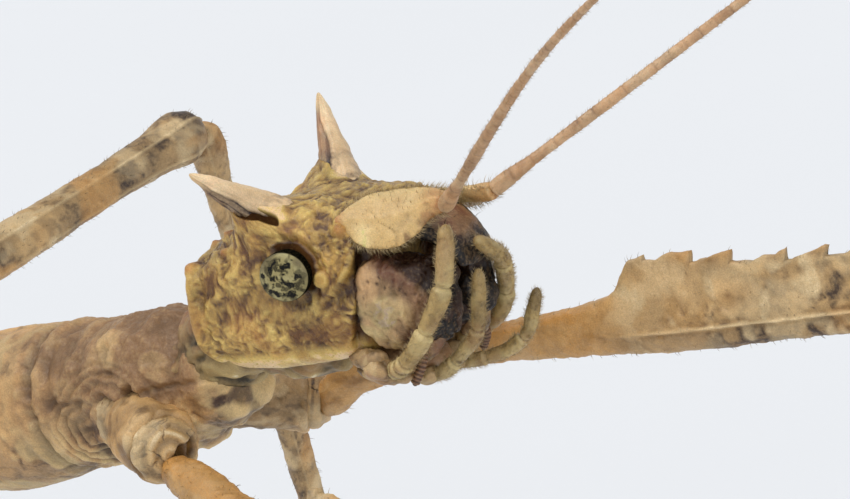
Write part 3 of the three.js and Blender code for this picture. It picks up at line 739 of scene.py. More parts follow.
def flagellum(label, s):
    root = np.array(FLAGELLUM_ROOTS[label])
    reach = FLAGELLUM_REACH * [1, s, 1]
    girth = [[0, 0.14, 0.14], [0.012, 0.155, 0.155], [0.03, 0.15, 0.15], [0.045, 0.13, 0.13],
             [0.2, 0.108, 0.108], [0.4, 0.09, 0.09], [0.7, 0.072, 0.072], [1, 0.05, 0.05]]
    grid, share, _ = sweep([root, root + reach * 0.5 + [0, 0, BOW[label]], root + reach], girth,
                           Y, rings=500, around=26, caps=(0.004, 0.004))
    near = nearest(share, FLAGELLUM_JOINTS)
    ring = ramp(near, 0.0028, 0.0)
    height = 0.006 * ramp(near, 0.009, 0.002) - 0.014 * ring + 0.005 * noise(grid, 5.0, 50, 2)
    p = grid = raise_by(grid, height)
    along = np.stack([share * 40, share * 0, share * 0], -1)
    dark = 0.35 * ring + 0.2 * spots(along, 1.0, 51, 0.0, 0.5) + 0.25 * spots(p, 4.0, 54, 0.15, 0.5)
    dark += 0.5 * band(share - 0.036, 0.006, 0.001)
    pale = 0.4 * spots(p, 3.0, 52, 0.0, 0.5) + 0.4 * ramp(share, 0.05, 0.02)
    head_piece(f"flagellum_{label}_joints", "flagellum", "feeler", f"flagellum_{label}", grid,
               dark, pale, 0.4 * spots(p, 1.2, 53, -0.2, 0.4), 0.6)
    return grid


# ---- Mouth ----
def labrum():
    path = [[1.1, 0, 0.52], [2.0, 0, 0.42], [2.5, 0, 0.14], [2.76, 0, -0.18], [2.83, 0, -0.5]]
    girth = [[0, 0.9, 0.3], [0.2, 0.84, 0.3], [0.5, 0.72, 0.24], [0.72, 0.6, 0.2],
             [0.9, 0.5, 0.14], [1, 0.38, 0.08]]
    p, share, angle = sweep(path, girth, Y, rings=130, around=110, square=(0.8, 0.9),
                            caps=(0.02, 0.06))
    groove = band(share - 0.5, 0.025)
    height = 0.03 * noise(p, 1.8, 60) + 0.02 * noise(p, 5.0, 61) - 0.05 * groove
    grid = raise_by(p, height)
    middle = ramp(np.abs(p[..., 1]) + 0.1 * noise(p, 3.0, 65), 0.55, 0.3)
    middle = middle * ramp(np.sin(angle), 0.2, 0.6) * ramp(share, 0.86, 0.62)
    blots = spots(warped(p, 2.0, 0.1, 63), 3.0, 62, -0.1, 0.4)
    # Painted shade: all but the middle of the top, that is the sides and underside, is painted
    # dark.
    dark = (1 - middle) * 0.92 + 0.35 * blots + 0.5 * groove
    pale = 0.4 * ramp(share, 0.4, 0.1) * middle * spots(p, 2.0, 64, -0.3, 0.3)
    warm = 0.95 * middle * (1 - 0.3 * blots) * ramp(share, 0.1, 0.3)
    head_piece("labrum_plate", "jaw", "jaw", "labrum", grid, dark, pale, warm, 0.5 + height * 5)
    return grid


def mandible(label, s):
    path = [[0.95, s * 0.84, -0.8], [1.5, s * 0.84, -0.82], [2.2, s * 0.64, -0.88],
            [2.66, s * 0.42, -0.95]]
    girth = [[0, 0.44, 0.66], [0.1, 0.57, 0.84], [0.3, 0.63, 0.9], [0.5, 0.6, 0.88],
             [0.7, 0.48, 0.84], [0.9, 0.3, 0.7], [1, 0.14, 0.45]]
    p, share, _ = sweep(path, girth, Y, rings=165, around=180, square=(0.95, 0.95),
                        caps=(0.02, 0.08))
    z = p[..., 2]
    q = warped(p, 2.2, 0.14, 170 + s)
    wrinkles = noise(q * [1.8, 1.0, 0.7], 2.8, 70 + s)
    apart, kind = cells(q, 7.0, seed=74)
    pits = ramp(apart, 0.34, 0.14) * (kind > 0.35)
    grains = noise(q, 8.0, 78, 2)
    forward = share + 0.2 * ((z + 0.98) / 0.7) ** 2 + 0.03 * noise(q, 3.0, 73)
    ledge = ramp(forward, 0.66, 0.76)
    teeth = np.maximum(0, np.sin(z * 9.0)) * ramp(share, 0.8, 0.97)
    height = 0.08 * noise(p, 1.3, 71) + 0.05 * wrinkles + 0.022 * grains - 0.025 * pits
    height += 0.06 * teeth - 0.06 * ledge
    upper = ramp(z + 0.2 * noise(q, 1.5, 75), -1.0, -0.3)
    outer = ramp(forward, 0.46, 0.62)
    dark = ramp(forward, 0.68, 0.8) + 0.12 * upper + 0.45 * pits * (0.3 + upper) + 0.45 * outer
    dark += 0.22 * ramp(wrinkles, 0.0, -0.45) + 0.16 * ramp(grains, 0.1, 0.5)
    # Painted shadow: the jaw's rear end is painted near black, as the shade in the gap against the
    # cheek.
    dark += 0.95 * ramp(share, 0.16, 0.05) + 0.35 * ramp(z, -1.4, -1.62)
    pale = 0.6 * ramp(z, -0.5, -1.0) * (1 - outer) * spots(q, 1.7, 72, -0.4, 0.4)
    # blush_and_highlight is a pale pink patch on the jaw's bulge: partly its pink skin, partly a
    # painted highlight.
    blush_and_highlight = dome(p, (1.62, s * 1.42, -1.0), 0.6) * spots(q, 2.0, 79, -0.5, 0.1)
    blush_and_highlight = ramp(blush_and_highlight, 0.15, 0.7) * (1 - 0.6 * ramp(grains, 0.0, 0.5))
    pale = np.maximum(np.clip(pale, 0, 0.68), 0.9 * blush_and_highlight)
    warm = 0.25 * upper + 0.5 * outer * (1 - ledge) + 0.25 * spots(q, 2.2, 77, 0.0, 0.4)
    head_piece(f"mandible_{label}_jaw", "jaw", "jaw", f"mandible_{label}", raise_by(p, height),
               dark, pale * (1 - ledge), warm, 0.55 + 4.5 * height)


# Soft lumps of the lower mouth: seed, path and girth. All but the first stand on both sides,
# and their paths are given for the left.
MIDDLE_LOBE = (80, [[0.0, 0, -1.95], [0.9, 0, -2.14], [1.6, 0, -2.2]],
               [[0, 0.5, 0.14], [0.3, 0.78, 0.26], [0.7, 0.74, 0.27], [1, 0.42, 0.2]])
SIDE_LOBES = [
    (84, [[0.35, 1.1, -1.78], [0.8, 1.14, -1.84], [1.15, 1.1, -1.86]],
     [[0, 0.1, 0.14], [0.5, 0.18, 0.2], [1, 0.12, 0.16]]),
    (86, [[0.7, 1.08, -1.98], [1.0, 1.14, -2.04], [1.25, 1.1, -2.12]],
     [[0, 0.16, 0.16], [0.5, 0.21, 0.21], [1, 0.14, 0.16]]),
    (90, [[0.3, 0.85, -2.0], [0.9, 0.9, -2.2], [1.4, 0.8, -2.3]],
     [[0, 0.2, 0.14], [0.5, 0.26, 0.17], [1, 0.16, 0.14]]),
    (88, [[1.0, 0.3, -2.34], [1.5, 0.38, -2.42], [1.8, 0.4, -2.32]],
     [[0, 0.24, 0.14], [0.5, 0.28, 0.16], [1, 0.18, 0.13]]),
    (92, [[1.5, 0.85, -1.95], [2.0, 0.8, -1.8], [2.35, 0.62, -1.55]],
     [[0, 0.2, 0.18], [0.5, 0.16, 0.18], [1, 0.08, 0.1]]),
]


def lobe(seed, points, girth, s=1, rings=66, around=62):
    grid, _, _ = sweep(mirrored(points, s), girth, Y, rings=rings, around=around, caps=(0.2, 0.2))
    q = warped(grid, 2.4, 0.12, seed)
    folds = noise(q, 3.2, seed + 1)
    grains = noise(q, 8.0, seed + 2, 2)
    height = 0.04 * folds + 0.0175 * grains
    grid = raise_by(grid, height)
    dark = 0.25 * spots(q, 2.2, seed + 3, -0.1, 0.4) + 0.35 * ramp(folds, 0.0, -0.4)
    dark += 0.22 * ramp(grains, 0.1, 0.5)
    return shell(from_head(grid), dark, 0.45 * ramp(folds, 0.05, 0.45),
                 0.5 * spots(grid, 1.3, seed + 5, -0.1, 0.4), 0.55 + 4 * height)


def comb(s):
    """The dark little spur with combed rings that hangs from the lower mouth."""
    path = mirrored([[1.9, 0.86, -1.7], [1.86, 1.04, -2.06], [1.66, 1.12, -2.4]], s)
    grid, share, _ = sweep(path, [[0, 0.1, 0.1], [0.5, 0.09, 0.09], [1, 0.075, 0.075]], X,
                           rings=120, around=40, caps=(0.1, 0.1))
    rings = np.sin(share * 70)
    grid = raise_by(grid, 0.012 * rings + 0.01 * noise(grid, 6.0, 96))
    dark = 0.7 + 0.3 * ramp(rings, 0.2, -0.5) * ramp(share, 0.2, 0.5)
    return shell(from_head(grid), dark, 0, 0.3, 0.5 + 0.2 * rings)


def labium():
    shells = [lobe(*MIDDLE_LOBE, rings=90, around=110)]
    for s in SIDES.values():
        shells += [lobe(*given, s) for given in SIDE_LOBES] + [comb(s)]
    piece("labium_lobes", "mouth", ["labium"], shells)


# Palps, the jointed feelers of the mouth: the shares of their length where segments meet, and
# for each side the radius, how dark the tip is, and a path as if it were on the left.
PALPS = {
    "maxillary": ([0.06, 0.12, 0.18, 0.42, 0.68], {
        "right": (0.185, 0.0, [
            [1.2, 1, -2.12], [1.48, 1.2, -2.05], [1.9, 1.32, -1.8], [2.27, 1.38, -1.48],
            [2.73, 1.24, -0.85], [2.86, 1.14, -0.52], [2.96, 1.02, 0], [3.04, 0.92, 0.48]]),
        "left": (0.175, 0.0, [
            [1.2, 1, -2.12], [1.48, 1.18, -2.08], [1.98, 1.28, -1.87], [2.26, 1.28, -1.57],
            [2.5, 1.12, -1.22], [2.78, 0.8, -0.84], [3.05, 0.42, -0.5], [3.14, 0.05, -0.25],
            [3.12, -0.27, 0.02]])}),
    "labial": ([0.32, 0.62], {
        "right": (0.145, 0.2, [
            [1.3, 0.36, -2.4], [1.7, 0.42, -2.4], [2.1, 0.46, -2.24], [2.46, 0.5, -2],
            [2.86, 0.55, -1.68], [3.08, 0.55, -1.07], [3.21, 0.5, -0.49]]),
        "left": (0.138, 0.6, [
            [1.3, 0.36, -2.4], [2.01, 0.5, -2.42], [2.7, 0.7, -2.27], [3, 0.8, -2.04],
            [3.14, 0.84, -1.75], [3.38, 0.86, -1.27]])}),
}


def palp(kind, label, s):
    joints, sides = PALPS[kind]
    radius, dark_tip, points = sides[label]
    keys = np.concatenate([[0], joints, [1]])
    at = np.linspace(0, 1, 120)
    segment = np.clip(np.searchsorted(keys, at, side="right") - 1, 0, len(keys) - 2)
    within = (at - keys[segment]) / (keys[segment + 1] - keys[segment])
    rounded = 0.84 + 0.16 * np.sin(np.clip(within * 3.0, 0, math.pi)) - 0.14 * within
    belly = np.where(segment == len(keys) - 2, rounded,
                     0.8 + 0.2 * np.clip(within * 1.3, 0, 1) ** 0.8)
    waist = ramp(nearest(at[:, None], joints)[:, 0], 0.022, 0.0)
    size = radius * belly * (1 - 0.22 * waist)
    p, share, _ = sweep(mirrored(points, s), np.stack([at, size, size], -1), Y, rings=220,
                        around=46, caps=(0.02, 0.06))
    near = nearest(share, joints)
    bumps = 0.014 * noise(p, 3.0, 100) + 0.007 * noise(p, 9.0, 101)
    p = raise_by(p, bumps)
    crease = ramp(near, 0.009, 0.0)
    dark = 0.45 * crease + 0.3 * spots(p, 3.2, 102, 0.1, 0.5) + dark_tip * ramp(share, 0.8, 1.0)
    dark += 0.3 * spots(p, 9.0, 104, 0.1, 0.5, 2)
    pale = 0.65 * ramp(near, 0.035, 0.01) * (1 - crease) + 0.4 * spots(p, 2.0, 103, 0, 0.4)
    name = f"{kind}_palp_{label}"
    head_piece(f"{name}_joints", "palp", "feeler", name, p, dark, pale,
               0.4 * spots(p, 1.4, 105, 0.0, 0.5), 0.6 + 5 * bumps)
    return p


# ---- Trunk ----
# Rows: distance back, half width, half height.
TRUNK_GIRTH = np.array([
    [3.05, 0.12, 0.14], [3.1, 0.45, 0.5], [3.2, 0.72, 0.78], [3.45, 0.92, 0.98],
    [3.9, 0.98, 1.04], [4.6, 1.18, 1.3], [6, 1.19, 1.33], [8.1, 1.27, 1.39],
    [9, 1.46, 1.5], [12, 1.38, 1.44], [18, 1.41, 1.46], [24, 1.61, 1.56],
    [27, 1.88, 1.71], [28.5, 1.78, 1.64], [30, 1.71, 1.61], [36, 1.81, 1.66],
    [39, 2.01, 1.76], [41, 1.91, 1.71], [48.5, 2.04, 1.86], [56.5, 2.16, 2.01],
    [65, 2.21, 2.06], [73, 2.08, 1.96], [80, 1.81, 1.71], [85.5, 1.51, 1.46],
    [88.5, 1.28, 1.26], [90.6, 1.16, 1.11], [93, 0.78, 0.55],
])
BORDERS = [PROTHORAX_END, MESOTHORAX_END, METATHORAX_END, *ABDOMEN_ENDS]
# Stretches of the skin: start, end, step between rings and points round each ring.
STRETCHES = [(TRUNK_GIRTH[0, 0], 14, 0.04, 240), (14, 93.1, 0.2, 120)]
COLLARS = [(3.45, 0.3), (7.75, 0.25)]  # distance back and width
# Places on the prothorax: distance back, angle up from the side, and radius.
PIT = (5.05, 0.05, 0.16)
FRONT_PLATES = [(4.25, 0.36, 0.42), (4.4, -0.08, 0.36), (5.6, 0.85, 0.5)]
COXA_FOLDS = (-6, 1.35, 14.85)  # middle of the folds round a front coxa, from the body's axis


def backward(pitch):
    return np.stack([-np.cos(pitch), 0 * pitch, -np.sin(pitch)], -1)


def axis_at(distance):
    """A place on the body's axis, straight in the thorax and eased into the flatter abdomen."""
    distance = np.atleast_1d(np.asarray(distance, float))
    straight = np.minimum(distance, METATHORAX_END)[:, None] * backward(np.array([THORAX_PITCH]))
    past = np.maximum(distance - METATHORAX_END, 0)
    pitch = THORAX_PITCH + (ABDOMEN_PITCH - THORAX_PITCH) * past / (past + SETTLE)
    return AXIS_START + straight + past[:, None] * backward(pitch)


def trunk_grid(start, end, step, around):
    """Rings about the body's axis, with each one's distance back and its points' angles."""
    distance = np.arange(start, end + step, step)
    centre = axis_at(distance)
    above = np.cross(unit(np.gradient(centre, axis=0)), -Y)
    width, height = smooth_interp(distance, TRUNK_GIRTH[:, 0], TRUNK_GIRTH[:, 1:]).T[..., None]
    angle = turns(around)
    c, s = squared(angle, (0.94, 0.94))
    grid = centre[:, None] - Y * (width * c)[..., None] + above[:, None] * (height * s)[..., None]
    return grid, distance[:, None], angle


def trunk_skin():
    shells = []
    for stretch in STRETCHES:
        p, distance, angle = trunk_grid(*stretch)
        near = nearest(distance, BORDERS)
        behind = distance - BORDERS
        overlap = np.max(ramp(behind, 0.45, 0.0) * (behind >= -0.02), axis=1, keepdims=True)
        back = distance + blank(p)
        up = np.sin(angle) + blank(p)
        front = ramp(distance, 9.4, 7.4) + blank(p)
        belly = ramp(up, -0.5, -0.9)
        q = warped(p, 0.9, 0.25, 150)
        fine = warped(p, 1.8, 0.14, 156)
        fold = noise(q * [1, 0.7, 1.5], 1.6, 123)
        apart, kind = cells(p, 1.9, seed=121)
        granules = np.clip(1 - apart / 0.24, 0, 1) * (kind > 0.6)
        pebbles = noise(fine, 4.0, 122)
        veins = band(noise(fine * [0.6, 1, 1], 2.2, 130), 0.16, 0.02)
        wrinkles = noise(fine * [1.3, 0.8, 0.8], 2.6, 129)
        collar = sum(band(back - at, width) for at, width in COLLARS) * ramp(up, -0.3, 0.1)
        seam = band(up - 0.06 + 0.1 * fold, 0.1) * front * ramp(back, 7.9, 7.4)
        height = 0.03 * noise(q, 0.9, 120) + 0.02 * pebbles * (0.5 + front)
        height += 0.06 * granules * (1 - belly) + 0.06 * overlap - 0.11 * ramp(near, 0.25, 0.0)
        height += 0.035 * band(angle - math.pi / 2, 0.06) * (1 - front) - 0.01 * veins
        height += front * (0.07 * fold + 0.05 * wrinkles) + 0.06 * collar - 0.07 * seam
        dark = (0.4 * ramp(fold, 0.1, -0.5) + 0.35 * ramp(wrinkles, 0.05, -0.4)) * front
        dark += 0.45 * seam + 0.22 * veins
        warm = 0.72 * front * ramp(up, -0.7, 0.0)
        pale = 0.45 * front * ramp(wrinkles, 0.1, 0.45)
        for s in SIDES.values():
            middle = mirrored(COXA_FOLDS, s) + Y * AXIS_START
            d = np.linalg.norm((q - middle) * [0.9, 1, 1], axis=-1)
            rings = ramp(d, 1.8, 1.2) * ramp(d, 0.55, 0.75) * front
            wave = np.sin(d * 24 + 3 * noise(p, 1.2, 160))
            height += 0.04 * rings * wave
            dark += 0.4 * rings * ramp(wave, 0.0, -0.8)
            pale += 0.35 * rings * ramp(wave, 0.0, 0.8)
        side = np.where(np.cos(angle) >= 0, angle, math.pi - angle) % (2 * math.pi)
        side = np.where(side > math.pi, side - 2 * math.pi, side)
        for at, turned, radius in FRONT_PLATES:
            d = np.hypot(back - at, (side - turned) * 1.3) / radius + 0.35 * fold
            height += 0.05 * ramp(d, 1.0, 0.75)
            dark += 0.5 * band(d - 1.0, 0.22)
            pale = np.maximum(pale, 0.45 * ramp(d, 1.0, 0.6) * ramp(pebbles, -0.4, 0.3))
            warm = warm * (1 - 0.4 * ramp(d, 1.0, 0.6))
        at, turned, radius = PIT
        pit = np.hypot(back - at, (side - turned) * 1.3) / radius + 0.4 * pebbles
        pit = ramp(pit, 1.3, 0.5)
        height -= 0.15 * pit
        facing_front = ramp(back, 3.5, 3.2)
        streaks = spots(fine * [0.35, 1.2, 1.2], 1.7, 124, 0.0, 0.45)
        blots = spots(q, 0.6, 125, -0.1, 0.45)
        # The pit is sunk and painted dark, as shade in a hollow.
        dark += 0.4 * facing_front * ramp(fold, 0.0, -0.4) + pit
        # Painted shade: the belly and the lower side are darker.
        dark += 0.2 * belly + 0.22 * ramp(up, 0.1, -0.5) + 0.16 * streaks * (0.25 + blots)
        dark += 0.3 * spots(fine, 4.6, 126, 0.25, 0.55, 2) * (0.2 + blots)
        dark += 0.5 * ramp(near, 0.16, 0.0)
        pale = np.maximum(pale, 0.62 * facing_front * ramp(fold, -0.35, 0.1))
        pale = np.maximum(pale, 0.12 * belly + 0.5 * granules
                          + 0.45 * spots(fine, 1.3, 127, 0.1, 0.45))
        warm = warm * (1 - facing_front) + 0.2 * streaks * (1 - blots)
        warm += 0.25 * spots(q, 0.5, 128, -0.1, 0.5) * ramp(up, -0.6, 0.2)
        shells.append(shell(raise_by(p, height), dark, pale * (1 - pit), warm,
                            0.58 + 3.0 * height))
    nodes = ["prothorax", "mesothorax", "metathorax"] + [f"abdomen_{i}" for i in range(2, 11)]
    piece("trunk_skin", "body", nodes, shells)


def neck():
    path = [from_head((-0.5, 0, -1.15)), from_head((-2.5, 0, -1.1)), axis_at(NECK_END)[0]]
    girth = [[0, 0.8, 0.6, 1.1], [0.12, 0.9, 0.62, 1.28], [0.4, 0.94, 0.66, 1.16],
             [0.7, 0.92, 0.78, 0.92], [1, 0.9, 0.88, 0.94]]
    grid, _, angle = sweep(path, girth, -Y, rings=130, around=150)
    q = warped(grid, 1.1, 0.26, 134)
    folds = noise(q * [1.0, 0.45, 1.3], 2.2, 130)
    apart, kind = cells(q, 2.0, seed=135)
    lumps = np.clip(1 - apart / 0.5, 0, 1) * (kind > 0.45)
    height = 0.1 * folds + 0.05 * lumps + 0.03 * noise(q, 5.0, 131)
    grid = raise_by(grid, height)
    shadow = ramp(folds, 0.05, -0.45)
    up = np.sin(angle)
    dark = 0.7 * shadow + 0.3 * spots(grid, 1.0, 132, 0.0, 0.4) + 0.3 * spots(q, 5.0, 136, 0.1, 0.5)
    pale = np.maximum(0.5 * ramp(folds, 0.0, 0.5),
                      0.9 * ramp(lumps, 0.5, 0.85) * (1 - shadow) * ramp(up, 0.1, -0.3))
    warm = 0.5 * spots(grid, 1.3, 133, 0, 0.5) * (1 - shadow) + 0.5 * ramp(up, 0.0, 0.6)
    piece("neck_folds", "membrane", ["neck"],
          [shell(grid, dark, pale, warm, 0.52 + 3 * height)])


def below_axis(distance, drop, side=0.0):
    return axis_at(distance)[0] + [0, side, -drop]


def tail():
    path = [below_axis(*place) for place in ((85.8, 1.0), (89, 0.95), (92, 0.75), (95, 0.45))]
    girth = [[0, 0.75, 0.4], [0.1, 1.0, 0.57], [0.45, 0.9, 0.57], [0.75, 0.55, 0.37],
             [0.95, 0.26, 0.2], [1, 0.16, 0.14]]
    grid, share, angle = sweep(path, girth, -Y, rings=120, around=60, caps=(0.03, 0.03))
    height = 0.02 * noise(grid, 1.4, 140) + 0.05 * band(np.sin(angle) + 1, 0.02)
    grid = raise_by(grid, height)
    piece("operculum_scoop", "body", ["operculum"], [
        shell(grid, 0.4 * spots(grid * [0.3, 1, 1], 1.5, 141, 0.1, 0.6),
              0.3 * ramp(share, 0.6, 1.0), 0.3, 0.55 + 3 * height)])
    for label, s in SIDES.items():
        grid, _, _ = sweep([below_axis(92.4, -0.1, s * 0.45), below_axis(94.2, 0.0, s * 0.85)],
                           [[0, 0.2, 0.2], [0.5, 0.24, 0.24], [0.9, 0.17, 0.17], [1, 0.08, 0.08]],
                           Y, rings=50, around=30, caps=(0.05, 0.1))
        grid = raise_by(grid, 0.01 * noise(grid, 3.0, 145))
        piece(f"cercus_{label}_bud", "body", [f"cercus_{label}"],
              [shell(grid, 0.4 * spots(grid, 2.0, 146, 0.1, 0.5), 0.2, 0.3)])


# ---- Legs ----
# Along a fore femur: the height of its crest above its axis, and where the crest's teeth end.
CREST = np.array([
    [3.6, 0.0], [4.6, 0.4], [5.6, 0.49], [6.4, 0.57], [7.1, 0.69], [7.3, 0.82], [7.64, 1.24],
    [8.0, 1.28], [8.5, 1.22], [8.96, 1.1], [9.8, 1.02], [10.95, 0.92], [12, 0.9], [18, 0.72],
    [24, 0.5], [24.6, 0.3]])
CREST_START = 7.1
TEETH = np.array([8.02, 8.96, 9.78, 10.95, 11.78, 12.9, 13.75, 14.8, 15.7, 16.75, 17.6, 18.7,
                  19.55, 20.6, 21.5, 22.6, 23.5])
TOOTH_LENGTH = 0.66
KEEL = 0.62  # how high on a leg's sides its edges run
TARSUS_JOINTS = [0.42, 0.56, 0.68, 0.78]
# Half thicknesses: the femur's root, waist, belly and end, and the tibia.
LIMBS = {"fore": (0.42, 0.33, 0.47, 0.33, 0.32), "middle": (0.5, 0.46, 0.56, 0.46, 0.38),
         "hind": (0.54, 0.48, 0.58, 0.46, 0.38)}
# The coxa's radius, then the places that each leg runs through.
PLACES = ("coxa_root", "coxa_end", "bend", "knee", "ankle", "toe")
LEGS = {
    "fore_right": (0.72, [[-6, -1.1, 15.2], [-3.9, -2.15, 14.8], [-1.94, -2.75, 14],
                          [19.85, -11.1, 12.57], [40.5, -19.1, 0.5], [46.2, -21.2, 0.3]]),
    "fore_left": (0.62, [[-5.5, 0.1, 15.1], [-4.15, 1.75, 14.5], [-3, 2.08, 14.98],
                         [19.9, 8.65, 15.75], [38.9, 14.1, 0.5], [44.7, 15.8, 0.3]]),
    "middle_right": (0.75, [[-26.4, -1.3, 12.9], [-26.3, -3, 12.4], [-26, -4.7, 12.7],
                            [-25.2, -19.8, 15.2], [-29, -24.8, 0.5], [-30.2, -29.3, 0.3]]),
    "middle_left": (0.75, [[-26.4, 0.2, 12.9], [-26.3, 1.9, 12.6], [-26.2, 3.6, 12.95],
                           [-26.24, 18.4, 15.31], [-30.4, 22.7, 0.5], [-31.9, 27.1, 0.3]]),
    "hind_right": (0.78, [[-38.2, -1.4, 11.3], [-38.5, -3, 10.6], [-39.4, -4.6, 10.9],
                          [-51.8, -18.7, 15.6], [-64.6, -28.4, 0.5], [-69.3, -31, 0.3]]),
    "hind_left": (0.78, [[-38.2, 0.3, 11.3], [-38.5, 1.9, 10.6], [-39.4, 3.5, 10.9],
                         [-50.6, 18.6, 15.4], [-62.4, 29.6, 0.5], [-66.9, 32.4, 0.3]]),
}


def next_tip(along):
    """The crest tooth that ends next after each place."""
    return TEETH[np.minimum(np.searchsorted(TEETH, along), len(TEETH) - 1)]


def crest_height(along):
    """Height of the crest above the femur's axis, and how far its saw teeth stand up from it."""
    rise = np.interp(along, CREST[:, 0], CREST[:, 1], left=0, right=0)
    following = next_tip(along)
    share = np.clip(1 - (following - along) / TOOTH_LENGTH, 0, 1) * (along <= following)
    size = np.interp(following, [8.0, 8.3, 8.96, 12, 24], [0.07, 0.2, 0.23, 0.19, 0.12])
    return rise, 0.9 * size * share**0.6


def limb_marks(grid, share, seed, bands=0.0):
    """Dark, pale, warm and height for a leg's surface."""
    q = warped(grid, 1.6, 0.16, seed + 50)
    streaks = spots(q * 0.8, 1.8, seed, 0.0, 0.45)
    vermicules = band(noise(q, 3.0, seed + 7), 0.16, 0.02)
    along = np.stack([share * 9, share * 0, share * 0], -1)
    dark = 0.28 * streaks + 0.34 * spots(q, 5.5, seed + 1, 0.2, 0.5, 2)
    dark += 0.32 * vermicules * (0.25 + streaks) + bands * spots(along, 1.0, seed + 2, -0.1, 0.4)
    pale = 0.55 * spots(q, 2.0, seed + 3, 0.05, 0.4) * (1 - 0.5 * streaks)
    warm = 0.5 * spots(q, 0.8, seed + 4, 0.0, 0.5)
    height = 0.022 * noise(grid, 1.8, seed + 5) + 0.012 * noise(q, 6.0, seed + 6, 2)
    return dark, pale, warm, height - 0.008 * vermicules


def femur(leg, across, crested, seed):
    coxa_end, bend, knee = leg["coxa_end"], leg["bend"], leg["knee"]
    path = [coxa_end, bend, (bend + knee) / 2, knee]
    root, waist, belly, end = leg["sizes"][:4]
    girth = [[0, root * 0.9, root * 0.9], [0.05, root, root], [0.1, waist * 1.1, waist * 1.1],
             [0.2, waist, waist * 1.2], [0.28, waist * 1.05, belly], [0.6, waist, belly * 0.95],
             [0.92, waist * 0.95, end * 1.1], [0.97, waist * 1.15, end * 1.25],
             [1, waist * 0.7, end * 0.7]]
    if crested:
        reach = bend - coxa_end
        path[:1] = [coxa_end + reach * 0.08 - Z * 0.26, coxa_end + reach * 0.55 - Z * 0.13]
        girth[:2] = [[0, root * 0.7, root * 0.7], [0.035, root * 0.9, root * 0.9],
                     [0.06, root, root]]
    rings, around = (540, 108) if crested else (220, 48)
    grid, share, angle = sweep(path, girth, across, rings=rings, around=around, square=(0.9, 0.9),
                               caps=(0.012, 0.02))
    up = np.sin(angle) + blank(grid)
    dark, pale, warm, height = limb_marks(grid, share, seed, bands=0.0 if crested else 0.3)
    if not crested:
        keels = band(np.abs(up) - KEEL, 0.1) * ramp(share, 0.08, 0.2)
        height = height + 0.04 * keels
        pale = pale + 0.4 * keels
        dark = dark + 0.5 * ramp(share, 0.05, 0.03)
        grid = raise_by(grid, height)
    else:
        grid = raise_by(grid, height)
        grid, dark, pale, warm, height = crest(grid, share, up, leg, across, seed)
    dark = dark + 0.3 * ramp(share, 0.94, 0.98)
    return grid, shell(grid, dark, pale, warm, 0.55 + 4 * height)


def crest(grid, share, up, leg, across, seed):
    """Pulls a fore femur's upper edge into its toothed crest, and marks the whole femur."""
    bend, knee = leg["bend"], leg["knee"]
    forward = unit(knee - bend)
    above = np.cross(forward, across)
    rel = grid - (bend - forward * np.linalg.norm(bend - leg["coxa_end"]))
    along, level = rel @ forward, rel @ above
    rise, tooth = crest_height(along)
    lift = np.maximum(rise - np.maximum(level, 0) * 0.9, 0) * ramp(up, 0.35, 1.0)
    crown = ramp(up, 0.82, 1.0)
    lift += tooth * crown * (1 + 0.2 * noise(grid * [1, 0.3, 0.3], 5.0, seed + 64))
    grid = grid + above * lift[..., None] + forward * (0.75 * tooth * crown)[..., None]
    pinch = ramp(up, 0.3, 0.8) * ramp(along, CREST_START - 1.0, CREST_START + 0.8)
    sideways = (grid - bend) @ unit(across)
    grid = grid - unit(across) * (sideways * 0.4 * pinch)[..., None]
    on_crest = ramp(along, CREST_START - 0.2, CREST_START + 1.2)
    ridge = band(up + 0.14, 0.08) * on_crest
    dark, pale, warm, _ = limb_marks(grid, share, seed)
    q = warped(grid, 1.8, 0.16, seed + 60)
    height = 0.07 * ridge + 0.03 * noise(q, 2.2, seed + 61) * ramp(up, 0.0, 0.4) * on_crest
    height += 0.018 * noise(q, 5.5, seed + 65, 2) - 0.03 * band(up + 0.26, 0.06) * on_crest
    height += 0.05 * ramp(up, -0.3, -0.8) * ramp(along, 7.2, 8.4)
    low = ramp(up, -0.22, -0.34) * on_crest
    bands = np.stack([along * 2.5, 0.8 * up, 0 * up], -1)
    squiggles = band(noise(q * [0.7, 1, 1], 3.2, seed + 63), 0.17, 0.03)
    crusts = spots(q * [0.6, 1, 1], 1.6, seed + 66, -0.05, 0.4)
    middle = band(up - 0.25, 0.6, 0.15)
    # The crest's lower face is darker: partly its banded pattern, partly painted shade.
    dark = dark * 0.6 + low * (0.42 + 0.55 * spots(bands, 1.0, seed + 9, -0.2, 0.1))
    dark += on_crest * middle * crusts * (0.12 + 0.55 * squiggles)
    streaks = spots(np.stack([along * 0.5, up * 3.0, 0 * up], -1), 1.6, seed + 67, 0.05, 0.4)
    dark += on_crest * (0.2 * streaks + 0.3 * spots(q, 5.0, seed + 68, 0.1, 0.45, 2)
                        + 0.2 * spots(q, 2.6, seed + 71, 0.1, 0.4))
    from_tip = next_tip(along) - along
    dark += 0.8 * band(from_tip - 0.3, 0.14, 0.05) * band(up - 0.93, 0.05, 0.01) * on_crest
    pale = np.maximum(np.clip(pale + 0.35 * on_crest * (1 - crusts), 0, 0.72), 0.95 * ridge)
    base = ramp(along, CREST_START + 0.4, CREST_START - 0.8)
    warm = warm * 0.5 + 0.48 * base + 0.35 * band(up - 0.75, 0.4, 0.05) * base
    warm += 0.45 * crown * ramp(tooth, 0.06, 0.14)
    dark = dark * (1 - 0.3 * base) + 0.9 * ramp(share, 0.03, 0.012)
    dark += 0.55 * base * spots(q * [0.5, 1, 1], 2.6, seed + 69, 0.15, 0.4)
    dark += 0.2 * base * spots(q, 5.0, seed + 70, 0.0, 0.4, 2)
    return raise_by(grid, height), dark, pale, warm, height


